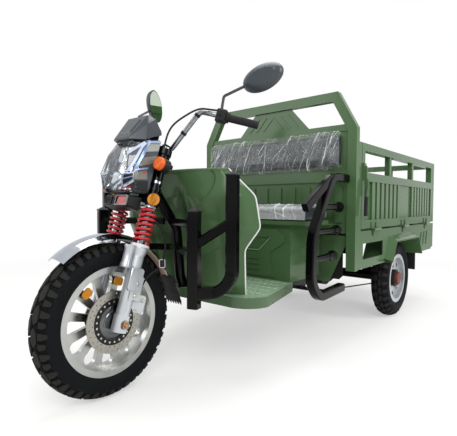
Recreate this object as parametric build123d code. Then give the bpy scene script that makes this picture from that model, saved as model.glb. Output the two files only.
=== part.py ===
from build123d import *
import os
from math import asin, cos, degrees, hypot, radians, sin

# Electric cargo tricycle, in millimetres. X runs across with the rider's left positive, Y runs
# rearwards and Z is up. The front axle stands at Y = 0 here, and the finished pieces are moved
# together so that the origin lies on the floor under the middle of the vehicle.

# Wheels
wheelbase = 2018
rear_track = 890
front_tyre_radius = 305
front_tyre_half = 55
front_lip_radius = 216
front_bead_radius = 200
rear_tyre_radius = 262
rear_tyre_half = 55
rear_lip_radius = 166
rear_bead_radius = 150
bead_half = 40
flange_width = 6
rim_wall = 8
shoulder_inset = 13
shoulder_drop = 14
seat_gap = 0.2
spoke_count = 12
spoke_half = 9
hub_radius = 50
axle_radius = 10
running_gap = 0.3
disc_radius = 122
disc_inner = 66
disc_thickness = 5
disc_inside_x = 52
carrier_radius = 82
carrier_thickness = 6

# Front end. The fork's own frame has its origin at the front axle, Z up the fork and Y rearwards.
rake = 18.3
fork_half = 95
stem_offset = 35
leg_radius = 27
leg_foot = -32
leg_top = 314
collar_radius = 36
stanchion_radius = 16.5
spring_radius = 31
spring_wire = 5
spring_turns = 7
spring_top = 462
tube_radius = 23
lower_clamp = 478
clamp_thickness = 27
upper_clamp = 698
upper_clamp_thickness = 24
tube_top = 732
clamp_end = 34
stem_radius = 13
head_radius = 30
head_gap = 0.5
cover_rear = -44
bar_back = 62.8
bar_rise = 33.9
bar_radius = 11
bar_fit = 0.15
grip_radius = 16.5
grip_length = 128
switch_length = 46
fender_radius = 345
fender_half = 54
fender_wall = 2.5
fender_front = -40
fender_rear = 66
flap_length = 158
flap_wall = 4

# Front of the body
shield_wall = 4
foot_top = 375
foot_skirt = 46
foot_wall = 4
foot_front_y = 402
foot_rear_y = 866
foot_front_half = 425
foot_rear_half = 340
post_side = 45
post_x = 305
post_y = 190
outer_post_x = 412
outer_post_y = 290
neck_radius = 25

# Seat
seat_front_y = 850
seat_rear_y = 1160
lid_overhang = 90
guard_inset = 55
guard_side = 42
seat_top = 664
seat_wall = 4
lid_rear_y = 1080
lid_clearance = 29
pan_thickness = 20
cushion_height = 74
seat_hinge_z = 676
backrest_inset = 80
backrest_height = 179
backrest_drop = 13
backrest_depth = 62

# Cargo box
box_half = 530
wall_depth = 40
hoop_y = 1197
hoop_tube = 50
hoop_foot = 411
hoop_bend = 1175
hoop_rise = 200
hoop_top_half = 422
gate_front_y = 1257
rear_overhang = 705
gate_low = 633
gate_high = 1102
gate_sill = 49
gate_rail = 48
gate_window = 116
gate_top_rail = 42
gate_hinge_z = 626
hinge_reach = 18
hinge_radius = 9
pin_radius = 4
skirt_low = 415
skirt_high = 622
deck_top = 630
deck_thickness = 20
rail_top = 570
rail_side = 50
rail_x = 260
arch_reach = 45
end_gap = 6

front_axle_z = front_tyre_radius
rear_axle_z = rear_tyre_radius
rear_wheel_x = rear_track / 2
hoop_top = hoop_bend + hoop_rise
guard_x = box_half - guard_inset
lid_half = guard_x - guard_side / 2 - lid_clearance
seat_half = lid_half - lid_overhang
gate_rear_y = wheelbase + rear_overhang
gate_length = gate_rear_y - gate_front_y
tail_y = gate_rear_y + end_gap
tail_hinge_y = tail_y + wall_depth + hinge_reach
rear_reach = tail_hinge_y + hinge_radius
middle_y = (rear_reach - front_tyre_radius) / 2

fork_frame = Plane(origin=(0, 0, front_axle_z), x_dir=(1, 0, 0), z_dir=(0, sin(radians(rake)),
                                                                        cos(radians(rake))))
front_hub = Pos(0, 0, front_axle_z)


def block(x, y, z):
    # Box between three pairs of limits
    centre = Pos((x[0] + x[1]) / 2, (y[0] + y[1]) / 2, (z[0] + z[1]) / 2)
    return centre * Box(x[1] - x[0], y[1] - y[0], z[1] - z[0])


def ring(outer, inner, low, high):
    # Round ring about the X axis, between two places along it
    body = Cylinder(outer, high - low)
    if inner:
        body -= Cylinder(inner, high - low)
    return Pos((low + high) / 2, 0, 0) * Rot(0, 90, 0) * body


def rod(start, end, radius):
    # Round bar between two points
    start, end = Vector(*start), Vector(*end)
    return Plane(origin=(start + end) / 2, z_dir=end - start).location * Cylinder(radius,
                                                                                  (end - start).length)


def bar(start, end, width, depth, across):
    # Straight square bar between two points, its width along the given direction
    start, end = Vector(*start), Vector(*end)
    section = Plane(origin=start, x_dir=across, z_dir=end - start) * Rectangle(width, depth)
    return extrude(section, amount=(end - start).length)


def bent_tube(points, radius, bend):
    # Round bar along straight runs joined by arcs
    path = FilletPolyline(*points, radius=bend)
    return sweep(Plane(origin=path @ 0, z_dir=path % 0) * Circle(radius), path=path)


def bent_bar(points, width, depth, across, bend):
    # Square bar along straight runs joined by arcs, in one plane
    path = FilletPolyline(*points, radius=bend)
    return sweep(Plane(origin=path @ 0, x_dir=across, z_dir=path % 0) * Rectangle(width, depth), path=path)


def pair(piece):
    # The piece and its mirror image on the other side
    return piece + mirror(piece, about=Plane.YZ)


def on_fork(piece):
    return fork_frame.location * piece


def tyre(radius, half, bead_radius, lip_radius):
    # Crown, two bulging sidewalls and the beads that sit between the rim's flanges
    crown = (half - shoulder_inset, radius - shoulder_drop)
    foot = (bead_half + flange_width, lip_radius + seat_gap)
    belly = (half, (radius + lip_radius) / 2)
    bead = (bead_half, bead_radius)
    flip = lambda point: (-point[0], point[1])
    outline = [
        ThreePointArc(flip(crown), (0, radius), crown),
        ThreePointArc(crown, belly, foot),
        Line(foot, (bead_half, foot[1])),
        Line((bead_half, foot[1]), bead),
        Line(bead, flip(bead)),
        Line(flip(bead), (-bead_half, foot[1])),
        Line((-bead_half, foot[1]), flip(foot)),
        ThreePointArc(flip(foot), flip(belly), flip(crown)),
    ]
    return revolve(make_face(outline), axis=Axis.X)


def rim_barrel(bead_radius, lip_radius):
    # Well of the rim with a flange on each side
    inner = bead_radius - rim_wall
    barrel = ring(bead_radius - seat_gap, inner, -bead_half - flange_width, bead_half + flange_width)
    flange = ring(lip_radius, inner, bead_half + seat_gap, bead_half + flange_width)
    return barrel + pair(flange)


# Front wheel
def front_rim():
    window_outer, window_outer_r = 158, 25
    window_inner, window_inner_r = 86, 8
    barrel_inner = front_bead_radius - rim_wall
    window = Pos(0, window_outer) * Circle(window_outer_r) + Pos(0, window_inner) * Circle(window_inner_r)
    window += make_face(Polyline(
        (-window_inner_r, window_inner), (window_inner_r, window_inner), (window_outer_r, window_outer),
        (-window_outer_r, window_outer), close=True))
    window = extrude(Plane.YZ * window, amount=spoke_half + 1, both=True)
    spokes = ring(barrel_inner + 1, 0, -spoke_half, spoke_half)
    for number in range(spoke_count):
        spokes -= Rot(number * 360 / spoke_count, 0, 0) * window
    hub = ring(hub_radius, 0, -disc_inside_x, disc_inside_x - carrier_thickness)
    bore = ring(axle_radius + running_gap, 0, -disc_inside_x, disc_inside_x)
    return front_hub * (rim_barrel(front_bead_radius, front_lip_radius) + spokes + hub - bore)


def disc_carrier():
    return front_hub * ring(carrier_radius, axle_radius + 12, disc_inside_x - carrier_thickness,
                            disc_inside_x)


def brake_disc():
    return front_hub * ring(disc_radius, disc_inner, disc_inside_x, disc_inside_x + disc_thickness)


# Fork and steering
def front_axle():
    nut_radius, nut_width, nut_x = 16, 12, fork_half + leg_radius
    nut = Plane.YZ.offset(nut_x) * RegularPolygon(nut_radius, 6)
    axle = ring(axle_radius, 0, -nut_x, nut_x)
    return front_hub * (axle + pair(extrude(nut, amount=nut_width)))


def fork_legs():
    # Each leg ends in a turned foot with two flats, the outer one under the axle's nut
    foot_radius, foot_high = leg_radius + 4, 34
    flats = block((fork_half - leg_radius, fork_half + leg_radius), (-foot_radius, foot_radius),
                  (leg_foot, foot_high))
    foot = Pos(fork_half, 0, (leg_foot + foot_high) / 2) * Cylinder(foot_radius, foot_high - leg_foot) & flats
    collar_low = leg_top - 16
    leg = Pos(fork_half, 0, collar_low / 2) * Cylinder(leg_radius, collar_low)
    leg += Pos(fork_half, 0, collar_low - 15) * Cone(leg_radius, collar_radius, 30)
    leg += Pos(fork_half, 0, (leg_top + collar_low) / 2) * Cylinder(collar_radius, leg_top - collar_low)
    pad = block((fork_half, fork_half + leg_radius + 3), (-14, leg_radius + 10), (96, 178))
    lug = block((fender_half + 4, fork_half), (-12, 12), (leg_top - 40, leg_top - 16))
    leg = leg + foot + pad + lug - ring(axle_radius + bar_fit, 0, 0, fork_half * 2)
    return on_fork(pair(leg))


def fork_tubes():
    # Plated stanchion, spring seat, upper tube and its two rings, turned as one profile
    seat, ring_height, ring_step = spring_radius + spring_wire, 10, 3
    profile = [(0, leg_top), (stanchion_radius, leg_top), (stanchion_radius, spring_top + 1)]
    profile += [(seat, spring_top + 1), (seat, spring_top + 8), (tube_radius, spring_top + 8)]
    profile += [(tube_radius, tube_top), (0, tube_top)]
    tube = revolve(Plane.XZ * make_face(Polyline(*profile, close=True)), axis=Axis.Z)
    for height in (lower_clamp + clamp_thickness + 70, upper_clamp - 30):
        tube += Pos(0, 0, height) * Cylinder(tube_radius + ring_step, ring_height)
    return on_fork(pair(Pos(fork_half, 0, 0) * tube))


def fork_springs():
    height = spring_top - leg_top - 2 * spring_wire - 1
    coil = Helix(pitch=height / spring_turns, height=height, radius=spring_radius)
    wire = sweep(Plane(origin=coil @ 0, z_dir=coil % 0) * RegularPolygon(spring_wire, 6), path=coil,
                 is_frenet=True)
    return on_fork(pair(Pos(fork_half, 0, leg_top + spring_wire + 0.5) * wire))


def clamp_plate(low, thickness, front):
    # Plate round both fork tubes with a nose that carries the stem
    plate = block((-fork_half, fork_half), (front, clamp_end), (low, low + thickness))
    plate += pair(Pos(fork_half, 0, low + thickness / 2) * Cylinder(clamp_end, thickness))
    plate += Pos(0, stem_offset, low + thickness / 2) * Cylinder(head_radius + 6, thickness)
    return plate - pair(Pos(fork_half, 0, low + thickness / 2) * Cylinder(tube_radius + bar_fit, thickness))


# Handlebar, from the grip's end down to its clamp, measured from the clamp. Columns: across, back, up.
bar_steps = [(400, 165, 89), (242, 62, 139), (190, 48, 154), (62, 0, 0)]
bar_s = upper_clamp + upper_clamp_thickness + bar_rise
bar_place = fork_frame.from_local_coords(Vector(0, bar_back, bar_s))
bar_route = [(x, bar_place.Y + y, bar_place.Z + z) for x, y, z in bar_steps]


def fork_clamps():
    riser_x, riser_half, riser_depth = 30, 12, 20
    upper_end = upper_clamp + upper_clamp_thickness
    body = clamp_plate(lower_clamp, clamp_thickness, cover_rear)
    body += clamp_plate(upper_clamp, upper_clamp_thickness, -clamp_end)
    body += Pos(0, stem_offset, (lower_clamp + upper_end) / 2) * Cylinder(stem_radius,
                                                                          upper_end - lower_clamp)
    shelf = block((-riser_x - riser_half, riser_x + riser_half), (0, bar_back + riser_depth),
                  (upper_clamp, upper_end))
    riser = block((riser_x - riser_half, riser_x + riser_half), (bar_back - riser_depth,
                                                                 bar_back + riser_depth),
                  (upper_end - 1, bar_s + riser_depth))
    body = body + shelf + pair(riser)
    return on_fork(body - Pos(0, bar_back, bar_s) * ring(bar_radius + bar_fit, 0, -100, 100))


def handlebar():
    route = bar_route + [(-x, y, z) for x, y, z in reversed(bar_route)]
    return bent_tube(route, bar_radius, 32)


def along_grip(distance):
    # Frame on the grip's run with Z towards its outer end, at a distance from that end
    end, start = Vector(*bar_route[0]), Vector(*bar_route[1])
    run = (end - start).normalized()
    return Plane(origin=end - run * distance, x_dir=(0, 0, 1), z_dir=run)


def grips():
    sleeve = Cylinder(grip_radius, grip_length) + Pos(0, 0,
                                                      -grip_length / 2 + 4) * Cylinder(grip_radius + 6, 8)
    sleeve -= Cylinder(bar_radius + bar_fit, grip_length)
    cap = Pos(0, 0, grip_length / 2 + 3) * Cylinder(grip_radius, 6)
    return pair(along_grip(grip_length / 2).location * (sleeve + cap))


def switch_housings():
    place = along_grip(grip_length + switch_length / 2 + 0.3).location
    body = fillet(Box(58, 44, switch_length).edges(), 9)
    button = Pos(6, 24, -6) * Cylinder(7, 8, rotation=(90, 0, 0)) + Pos(-14, 24, 6) * Box(12, 8, 16)
    return pair(place * (body + button - Cylinder(bar_radius + bar_fit, switch_length)))


# Mirrors, measured from the bar's clamp. The left one faces back, the right one hangs turned inwards.
# Columns: three points of the stem, glass centre, glass normal, long axis of the glass.
mirror_table = [
    ((278, 85, 157), (284, 91, 211), (398, 131, 253), (440, 149, 269), (-0.25, 0.96, 0.05), (0.93, 0.24,
                                                                                             0.3)),
    ((-278, 85, 157), (-286, 99, 209), (-362, 248, 281), (-338, 255, 295), (0.93, 0.2, -0.1), (0.1, -0.45,
                                                                                               0.89)),
]
mirror_long, mirror_short, mirror_depth, glass_wall, stem_wire = 88, 53, 42, 3, 6
# Sections of the mirror's shell. Columns: share of its depth, inset of its outline.
mirror_sections = [(0, 0), (0.55, 9), (1, 30)]


def mirrors():
    made = Part()
    for foot, elbow, head, glass, facing, long_axis in mirror_table:
        centre, normal = bar_place + Vector(*glass), Vector(*facing).normalized()
        faces = []
        for share, step in mirror_sections:
            back = Plane(origin=centre - normal * mirror_depth * share, x_dir=long_axis, z_dir=-normal)
            faces.append(back * Ellipse(mirror_long - step, mirror_short - step))
        stem = [bar_place + Vector(*point) for point in (foot, elbow, head)]
        made += loft(faces) + bent_tube(stem + [centre - normal * mirror_depth / 2], stem_wire, 14)
    return made - switch_housings()


def mirror_glass():
    rim = 6
    made = Part()
    for foot, elbow, head, glass, facing, long_axis in mirror_table:
        front = Plane(origin=bar_place + Vector(*glass), x_dir=long_axis, z_dir=facing)
        made += extrude(front * Ellipse(mirror_long - rim, mirror_short - rim), amount=glass_wall)
    return made


# Headlamp, cowl and lower cover, in the fork's frame
lamp_front, lamp_rim, lamp_depth, lens_wall = -104, 10, 46, 3
lamp_low, lamp_high, lamp_half, lamp_climb = lower_clamp + 22, upper_clamp + 24, 106, 25
ear_low, ear_high = lower_clamp + 67, upper_clamp - 58


def slab(back, half, low, high, corner):
    # Rounded rectangle across the vehicle, looking forwards along the fork's frame
    corner = min(corner, 0.4 * (high - low))
    facing = Plane(origin=(0, back, (low + high) / 2), x_dir=(1, 0, 0), z_dir=(0, -1, 0))
    return facing * RectangleRounded(2 * half, high - low, corner)


def headlamp_housing():
    body = loft([slab(cover_rear, lamp_half + 12, lamp_low + 12, lamp_high + lamp_climb, 22),
                 slab(lamp_front, lamp_half, lamp_low, lamp_high, 22)], ruled=True)
    pocket = loft([slab(lamp_front - 1, lamp_half - lamp_rim, lamp_low + lamp_rim, lamp_high - lamp_rim, 14),
                   slab(lamp_front + lamp_depth, lamp_half - 20, lamp_low + 24, lamp_high - 20, 14)],
                  ruled=True)
    return on_fork(body - pocket)


def headlamp_reflector():
    plate_half, bowl_radius, bowl_step, bulb_radius, bulb_length = 74, 40, 18, 8, 36
    plate_front, plate_back = lamp_front + 18, lamp_front + lamp_depth - running_gap
    plate = block((-plate_half, plate_half), (plate_front, plate_back), (lamp_low + 28, lamp_high - 26))
    for height in (lamp_low + 66, lamp_high - 66):
        bowl = Pos(0, plate_front - bowl_step, height) * Sphere(bowl_radius)
        bulb = Pos(0, plate_front + 6, height) * Rot(90, 0, 0) * Cylinder(bulb_radius, bulb_length)
        plate = plate - bowl + bulb
    return on_fork(plate)


# Lens sections. Columns: rise above the lamp's foot, half width behind, half width in front, front.
lens_sections = [
    (0, 98, 46, -140),
    (60, 102, 60, -165),
    (140, 102, 58, -155),
    (210, 96, 52, -131),
]


def headlamp_lens():
    # Faceted shell, open behind
    def facets(wall, back):
        faces = []
        for rise, wide, narrow, front in lens_sections:
            height = lamp_low + min(max(rise, wall), lens_sections[-1][0] - wall)
            ends = [(-wide + wall, back), (-narrow + wall, front + wall), (narrow - wall, front + wall),
                    (wide - wall, back)]
            faces.append(Pos(0, 0, height) * make_face(Polyline(*ends, close=True)))
        return loft(faces, ruled=True)
    return on_fork(facets(0, lamp_front) - facets(lens_wall, lamp_front + 1))


# Cowl sections. Columns: back, then height over the lamp and half width at the foot, shoulder and top.
cowl_sections = [
    (-152, (-12, 52), (-7, 52), (-2, 50)),
    (lamp_front, (running_gap, 94), (70, 80), (113, 64)),
    (-72, (26, 102), (108, 82), (136, 28)),
    (-30, (53, 92), (66, 88), (80, 78)),
]


def visor_cowl():
    faces = []
    for back, *levels in cowl_sections:
        side = [(half, lamp_high + rise) for rise, half in levels]
        outline = Polyline(*side, *[(-x, height) for x, height in reversed(side)], close=True)
        facing = Plane(origin=(0, back, 0), x_dir=(1, 0, 0), z_dir=(0, -1, 0))
        faces.append(facing * make_face(outline))
    return on_fork(loft(faces, ruled=True))


def lower_cover():
    front, low, high = -98, lamp_low - 60, lamp_low
    body = loft([slab(cover_rear, 88, low, high, 12), slab(front, 80, low + 5, high - 8, 10)], ruled=True)
    for x in (-52, 0, 52):
        body -= block((x - 20, x + 20), (front - 1, front + 9), (low + 16, high - 20))
    return on_fork(body)


def lamp_ears():
    # Rings on the fork tubes with arms to the headlamp and stubs for the turn lamps
    made = Part()
    for height in (ear_low, ear_high):
        ear = Pos(fork_half, 0, height) * Cylinder(tube_radius + 6, 16)
        ear += block((fork_half - 10, fork_half + 10), (cover_rear, 0), (height - 8, height + 8))
        if height == ear_high:
            ear += block((fork_half, 168), (-14, 6), (height - 8, height + 8))
        made += ear - Pos(fork_half, 0, height) * Cylinder(tube_radius + bar_fit, 16)
    return on_fork(pair(made))


def turn_lamps():
    radius, depth, x, height = 27, 50, 152, ear_high - 4
    lamp = Rot(90, 0, 0) * Cylinder(radius, depth)
    lamp = fillet(lamp.faces().sort_by(Axis.Y)[0].edges(), 14)
    return on_fork(pair(Pos(x, -14 - depth / 2, height) * lamp))


def side_reflectors():
    radius, depth, reach = 24, 14, 3
    height = spring_top + 8 + radius + 2
    disc = Pos(fork_half + clamp_end + reach, -20, height) * Rot(0, 0, 45) * Rot(90, 0,
                                                                                 0) * Cylinder(radius, depth)
    return on_fork(pair(disc - Pos(fork_half, 0, height) * Cylinder(clamp_end + bar_fit, radius * 3)))


# Fender and its flap
def front_fender():
    drop = 22
    edge, top = fender_radius - drop, fender_radius
    inner = fender_half - fender_wall
    outline = [
        ThreePointArc((-fender_half, edge), (0, top), (fender_half, edge)),
        Line((fender_half, edge), (inner, edge)),
        ThreePointArc((inner, edge), (0, top - fender_wall), (-inner, edge)),
        Line((-inner, edge), (-fender_half, edge)),
    ]
    shell = revolve(make_face(outline), axis=Axis.X, revolution_arc=fender_rear - fender_front)
    shell = front_hub * Rot(90 - fender_rear, 0, 0) * shell
    tab = block((fender_half - 1, fender_half + 3.7), (-10, 10), (leg_top - 26, edge + 4))
    return shell + on_fork(pair(tab))


def front_mudflap():
    half, teeth, tooth = fender_half - 4, 6, 22
    tilt = radians(90 - fender_rear)
    outward = Vector(0, cos(tilt), sin(tilt))
    start = Vector(0, 0, front_axle_z) + outward * (fender_radius - flap_wall)
    pitch = 2 * half / teeth
    points = [(-half, 0.3), (half, 0.3)]
    for number in range(teeth):
        edge = half - number * pitch
        points += [(edge, flap_length - tooth), (edge - pitch / 2, flap_length)]
    points.append((-half, flap_length - tooth))
    face = Plane(origin=start, x_dir=(1, 0, 0), z_dir=outward) * make_face(Polyline(*points, close=True))
    return extrude(face, amount=flap_wall)


caliper_foot, caliper_top = 48, 120


def brake_caliper():
    slot = disc_thickness / 2 + 2
    middle = disc_inside_x + disc_thickness / 2
    body = block((middle - 14, middle + 24), (54, 112), (caliper_foot, caliper_top))
    body = fillet(body.edges().filter_by(Axis.X), 14)
    body -= ring(disc_radius + 6, 0, middle - slot, middle + slot)
    body -= ring(carrier_radius + 6, 0, 0, middle)
    arm = block((middle + 23, fork_half + 8), (leg_radius + bar_fit, 86), (62, 92))
    return on_fork(body + arm)


# Cords held by the front end, in the fork's frame. The cable ends at the left switch housing.
cord_radius, cord_bend = 4, 20
cable_route = [(118, -22, upper_clamp + upper_clamp_thickness + running_gap), (118, -25, 766),
               (140, -31, 809), (172, -21, 845), (212, 26, 912)]
hose_route = [(62, 84, caliper_top + running_gap), (62, 84, 150), (70, 98, 206), (88, 140, 247),
              (100, 137, 286), (112, 112, 363), (100, 70, 415), (60, 25, 445),
              (60, 25, lower_clamp - running_gap)]


def control_cable():
    points = [fork_frame.from_local_coords(Vector(*spot)) for spot in cable_route]
    end, lead, above_bar = grip_length + switch_length + 2 * running_gap, 30, Vector(20, 0, 0)
    points += [along_grip(distance).from_local_coords(above_bar) for distance in (end + lead, end)]
    return bent_tube(points, cord_radius, cord_bend)


def brake_hose():
    return on_fork(bent_tube(hose_route, cord_radius, cord_bend))


# Leg shield sections. Columns: height, outer edge across and back, crest across and back, middle back.
shield_sections = [
    (foot_top, 335, 478, 205, 420, 472),
    (573, 356, 442, 215, 376, 444),
    (668, 415, 470, 262, 352, 428),
    (800, 402, 452, 262, 338, 350),
    (915, 304, 394, 190, 340, 318),
]
shield_middle_half = 55


def leg_shield():
    faces = []
    for height, edge_x, edge_y, crest_x, crest_y, middle_back in shield_sections:
        outline = []
        for back in (0, shield_wall):
            middle = (shield_middle_half, middle_back + back)
            left = (-shield_middle_half, middle_back + back)
            outline.append(Line(left, middle))
            outline.append(ThreePointArc(middle, (crest_x, crest_y + back), (edge_x, edge_y + back)))
            outline.append(ThreePointArc(left, (-crest_x, crest_y + back), (-edge_x, edge_y + back)))
        for side in (-edge_x, edge_x):
            outline.append(Line((side, edge_y), (side, edge_y + shield_wall)))
        faces.append(Pos(0, 0, height) * make_face(outline))
    return loft(faces, ruled=True)


def footboard():
    def outline(inset, rear):
        front, side, back = foot_front_half - inset, foot_rear_half - inset, foot_rear_y + rear
        return make_face([
            Line((-front + 125, foot_front_y + inset), (front - 125, foot_front_y + inset)),
            ThreePointArc((front - 125, foot_front_y + inset), (front - 30, foot_front_y + 40 + inset / 2),
                          (front, foot_front_y + 120)),
            Line((front, foot_front_y + 120), (side, back)),
            Line((side, back), (-side, back)),
            Line((-side, back), (-front, foot_front_y + 120)),
            ThreePointArc((-front, foot_front_y + 120), (-front + 30, foot_front_y + 40 + inset / 2),
                          (-front + 125, foot_front_y + inset)),
        ])
    board = extrude(Pos(0, 0, foot_top - foot_skirt) * outline(0, 0), amount=foot_skirt)
    board -= extrude(Pos(0, 0, foot_top - foot_skirt) * outline(foot_wall, 1), amount=foot_skirt - foot_wall)
    return board - neck_tube(neck_radius + 2)


# Steering head and the frame's two levels
head_low, head_high = lower_clamp + clamp_thickness + head_gap, upper_clamp - head_gap
low_rail_z, high_rail_z = foot_top - foot_wall - rail_side / 2, rail_top - rail_side / 2
frame_front_y = 440
cross_half = 20


# Front guards: an inner post, an outer post, a slanted arm and a bent lower arm, braced to the neck
def front_guards():
    inner, outer = Vector(post_x, post_y), Vector(outer_post_x, outer_post_y)
    out = (outer - inner).normalized()
    inner_low, inner_high, arm_inner, arm_outer, foot_z = 365, 735, 607, 700, 420
    at = lambda place, height: (place.X, place.Y, height)
    guard = bar(at(inner, inner_low), at(inner, inner_high), post_side, post_side, out)
    guard += bar(at(inner, arm_inner), at(outer, arm_outer), post_side - 8, post_side - 8, (0, 0, 1))
    sideways = Vector(-out.Y, out.X)
    guard += bent_bar([at(outer, 875), at(outer, foot_z + 12), at(inner, foot_z)], post_side, post_side,
                      sideways, 85)
    for height, reach in ((688, 342), (565, 386)):
        guard += bar(at(inner, height), (6, reach, height), 30, 30, (0, 0, 1))
    return pair(guard) - neck_tube(neck_radius)


def neck_tube(radius):
    # Down tube from the steering head to the front cross-member
    top = fork_frame.from_local_coords(Vector(0, stem_offset, (head_low + head_high) / 2))
    return bent_tube([top, (0, 385, 650), (0, 408, 430), (0, frame_front_y, low_rail_z)], radius, 60)


def cross_member(y, z):
    return block((-rail_x, rail_x), (y - cross_half, y + cross_half), (z - cross_half, z + cross_half))


def steering_neck():
    # Steering head with the down tube, which is welded to the front cross-member
    middle, length = (head_low + head_high) / 2, head_high - head_low
    head = Pos(0, stem_offset, middle) * Cylinder(head_radius, length)
    bore = Pos(0, stem_offset, middle) * Cylinder(stem_radius + running_gap, length)
    foot = Pos(0, frame_front_y, low_rail_z) * Box(4 * neck_radius, 6 * neck_radius, 2 * cross_half)
    return neck_tube(neck_radius) - foot + on_fork(head) - on_fork(bore)


def chassis_frame():
    kick_y, kick_end, rear_y = 1192, 1335, gate_rear_y - cross_half
    rail = bent_bar([(rail_x, frame_front_y, low_rail_z), (rail_x, kick_y, low_rail_z), (rail_x, kick_end,
                                                                                         high_rail_z),
                     (rail_x, rear_y, high_rail_z)], rail_side, rail_side, (1, 0, 0), 45)
    frame = pair(rail)
    for y in (frame_front_y, 800, 1120):
        frame += cross_member(y, low_rail_z)
    for y in (kick_end + 85, wheelbase - 318, wheelbase + 312, rear_y):
        frame += cross_member(y, high_rail_z)
    for y in (leaf_front_y, leaf_rear_y):
        frame += pair(block((rail_x, leaf_x + 29), (y - 22, y + 22), (leaf_end_z - 20, high_rail_z)))
    return frame - leaf_room()


# Rear running gear
leaf_x, leaf_half, leaf_wall, leaf_count = 330, 25, 8, 4
leaf_reach, leaf_rise = 350, 140
leaf_front_y, leaf_rear_y = wheelbase - leaf_reach, wheelbase + leaf_reach
axle_tube_radius = 32
leaf_pack_low = rear_axle_z + axle_tube_radius + running_gap
leaf_end_z = leaf_pack_low + leaf_count * leaf_wall + leaf_rise
stub_radius = 16
backplate_radius = 100
backplate_x = 383
rear_hub_at = Pos(0, wheelbase, rear_axle_z)


def leaf_room():
    room = Part()
    for y in (leaf_front_y, leaf_rear_y):
        room += block((leaf_x - leaf_half - running_gap, leaf_x + leaf_half + running_gap), (y - 60, y + 60),
                      (leaf_end_z - 26, leaf_end_z + 24))
    return pair(room)


def leaf_springs():
    # Curved leaves of falling length, stacked on the axle, with an eye at each end of the longest
    sweep_radius = (leaf_reach ** 2 + leaf_rise ** 2) / (2 * leaf_rise)
    centre_z = leaf_pack_low + leaf_count * leaf_wall + sweep_radius
    half_turn = degrees(asin(leaf_reach / sweep_radius))
    pack = Part()
    for number in range(leaf_count):
        turn = half_turn * (1 - 0.2 * number)
        inner = sweep_radius + number * leaf_wall
        section = Pos(leaf_x, -inner - leaf_wall / 2) * Rectangle(2 * leaf_half, leaf_wall)
        leaf = revolve(section, axis=Axis.X, revolution_arc=2 * turn)
        pack += Pos(0, wheelbase, centre_z) * Rot(90 - turn, 0, 0) * leaf
    return pair(pack)


def rear_axle():
    end = rear_wheel_x + 30
    beam = ring(axle_tube_radius, 0, -backplate_x, backplate_x)
    beam += pair(ring(backplate_radius, 0, backplate_x, backplate_x + 6))
    beam += pair(ring(stub_radius, 0, backplate_x, end))
    gearcase = Pos(-70, 0, 0) * Sphere(108)
    return rear_hub_at * (beam + gearcase)


def drive_motor():
    motor = Pos(0, -196, 20) * ring(92, 0, -180, 60)
    return rear_hub_at * motor - rear_hub_at * Pos(-70, 0, 0) * Sphere(108 + running_gap)


def rear_rim():
    barrel_inner = rear_bead_radius - rim_wall
    dish = ring(barrel_inner + 1, 58, 8, 14)
    for number in range(8):
        dish -= Rot(number * 45, 0, 0) * Pos(0, 0, 112) * ring(15, 0, 0, 20)
    return rear_hub_at * Pos(rear_wheel_x, 0, 0) * (rim_barrel(rear_bead_radius, rear_lip_radius) + dish)


def rear_hub():
    # Brake drum inside the rim, wheel flange, hub barrel and its end cap
    hub = ring(backplate_radius, 0, -46, 7.8) + ring(57.5, 0, 0, 40) + ring(42, 0, 39, 56)
    hub -= ring(stub_radius + running_gap, 0, -50, 32)
    return rear_hub_at * Pos(rear_wheel_x, 0, 0) * hub


def brake_linkage():
    # Cross shaft under the floor, two pull rods to the rear brakes and the foot pedal
    shaft_y, shaft_z, rod_x, lever_y, lever_z = 1120, 296, 368, wheelbase - 56, rear_axle_z - 40
    low_rail = foot_top - foot_wall - rail_side
    shaft = Pos(0, shaft_y, shaft_z) * ring(10, 0, -rod_x - 8, rod_x + 8)
    shaft += pair(block((rail_x - 8, rail_x + 8), (shaft_y - 14, shaft_y + 14), (shaft_z,
                                                                                 low_rail - running_gap)))
    pull = rod((rod_x, shaft_y, shaft_z), (rod_x, lever_y, lever_z), 4)
    lever = block((rod_x - 6, backplate_x), (lever_y - 8, lever_y + 8), (lever_z - 8, lever_z + 8))
    return shaft + pair(pull + lever)


def foot_pedal():
    pad_x, pad_y = -215, 600
    pedal = block((pad_x - 40, pad_x + 40), (pad_y - 30, pad_y + 30), (foot_top + 58, foot_top + 72))
    pedal += bar((pad_x, pad_y, foot_top + 60), (pad_x, pad_y + 70, foot_top + 9), 16, 12, (1, 0, 0))
    return pedal + block((pad_x - 30, pad_x + 30), (pad_y + 50, pad_y + 100), (foot_top, foot_top + 14))


# Seat. The box's front has a raised pressing with a sunk band and three louvres under it.
# Outlines by half, across and height.
pressing = [(247, 640), (306, 611), (302, 575), (219, 519), (220, 446), (244, 391)]
pressing_sunk = [(222, 596), (151, 527)]
pressing_depth, louvre_half, louvre_height, louvre_depth = 6, 150, 8, 5
louvre_heights = (487, 459, 430)


def seat_front():
    def plate(outline, depth):
        points = outline + [(-x, z) for x, z in reversed(outline)]
        facing = Plane(origin=(0, seat_front_y, 0), x_dir=(1, 0, 0), z_dir=(0, -1, 0))
        return extrude(facing * make_face(Polyline(*points, close=True)), amount=depth)
    front = plate(pressing, pressing_depth) - plate(pressing_sunk, pressing_depth)
    face = seat_front_y - pressing_depth
    for height in louvre_heights:
        front += block((-louvre_half, louvre_half), (face - louvre_depth, face), (height - louvre_height,
                                                                                  height))
    return front


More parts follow.
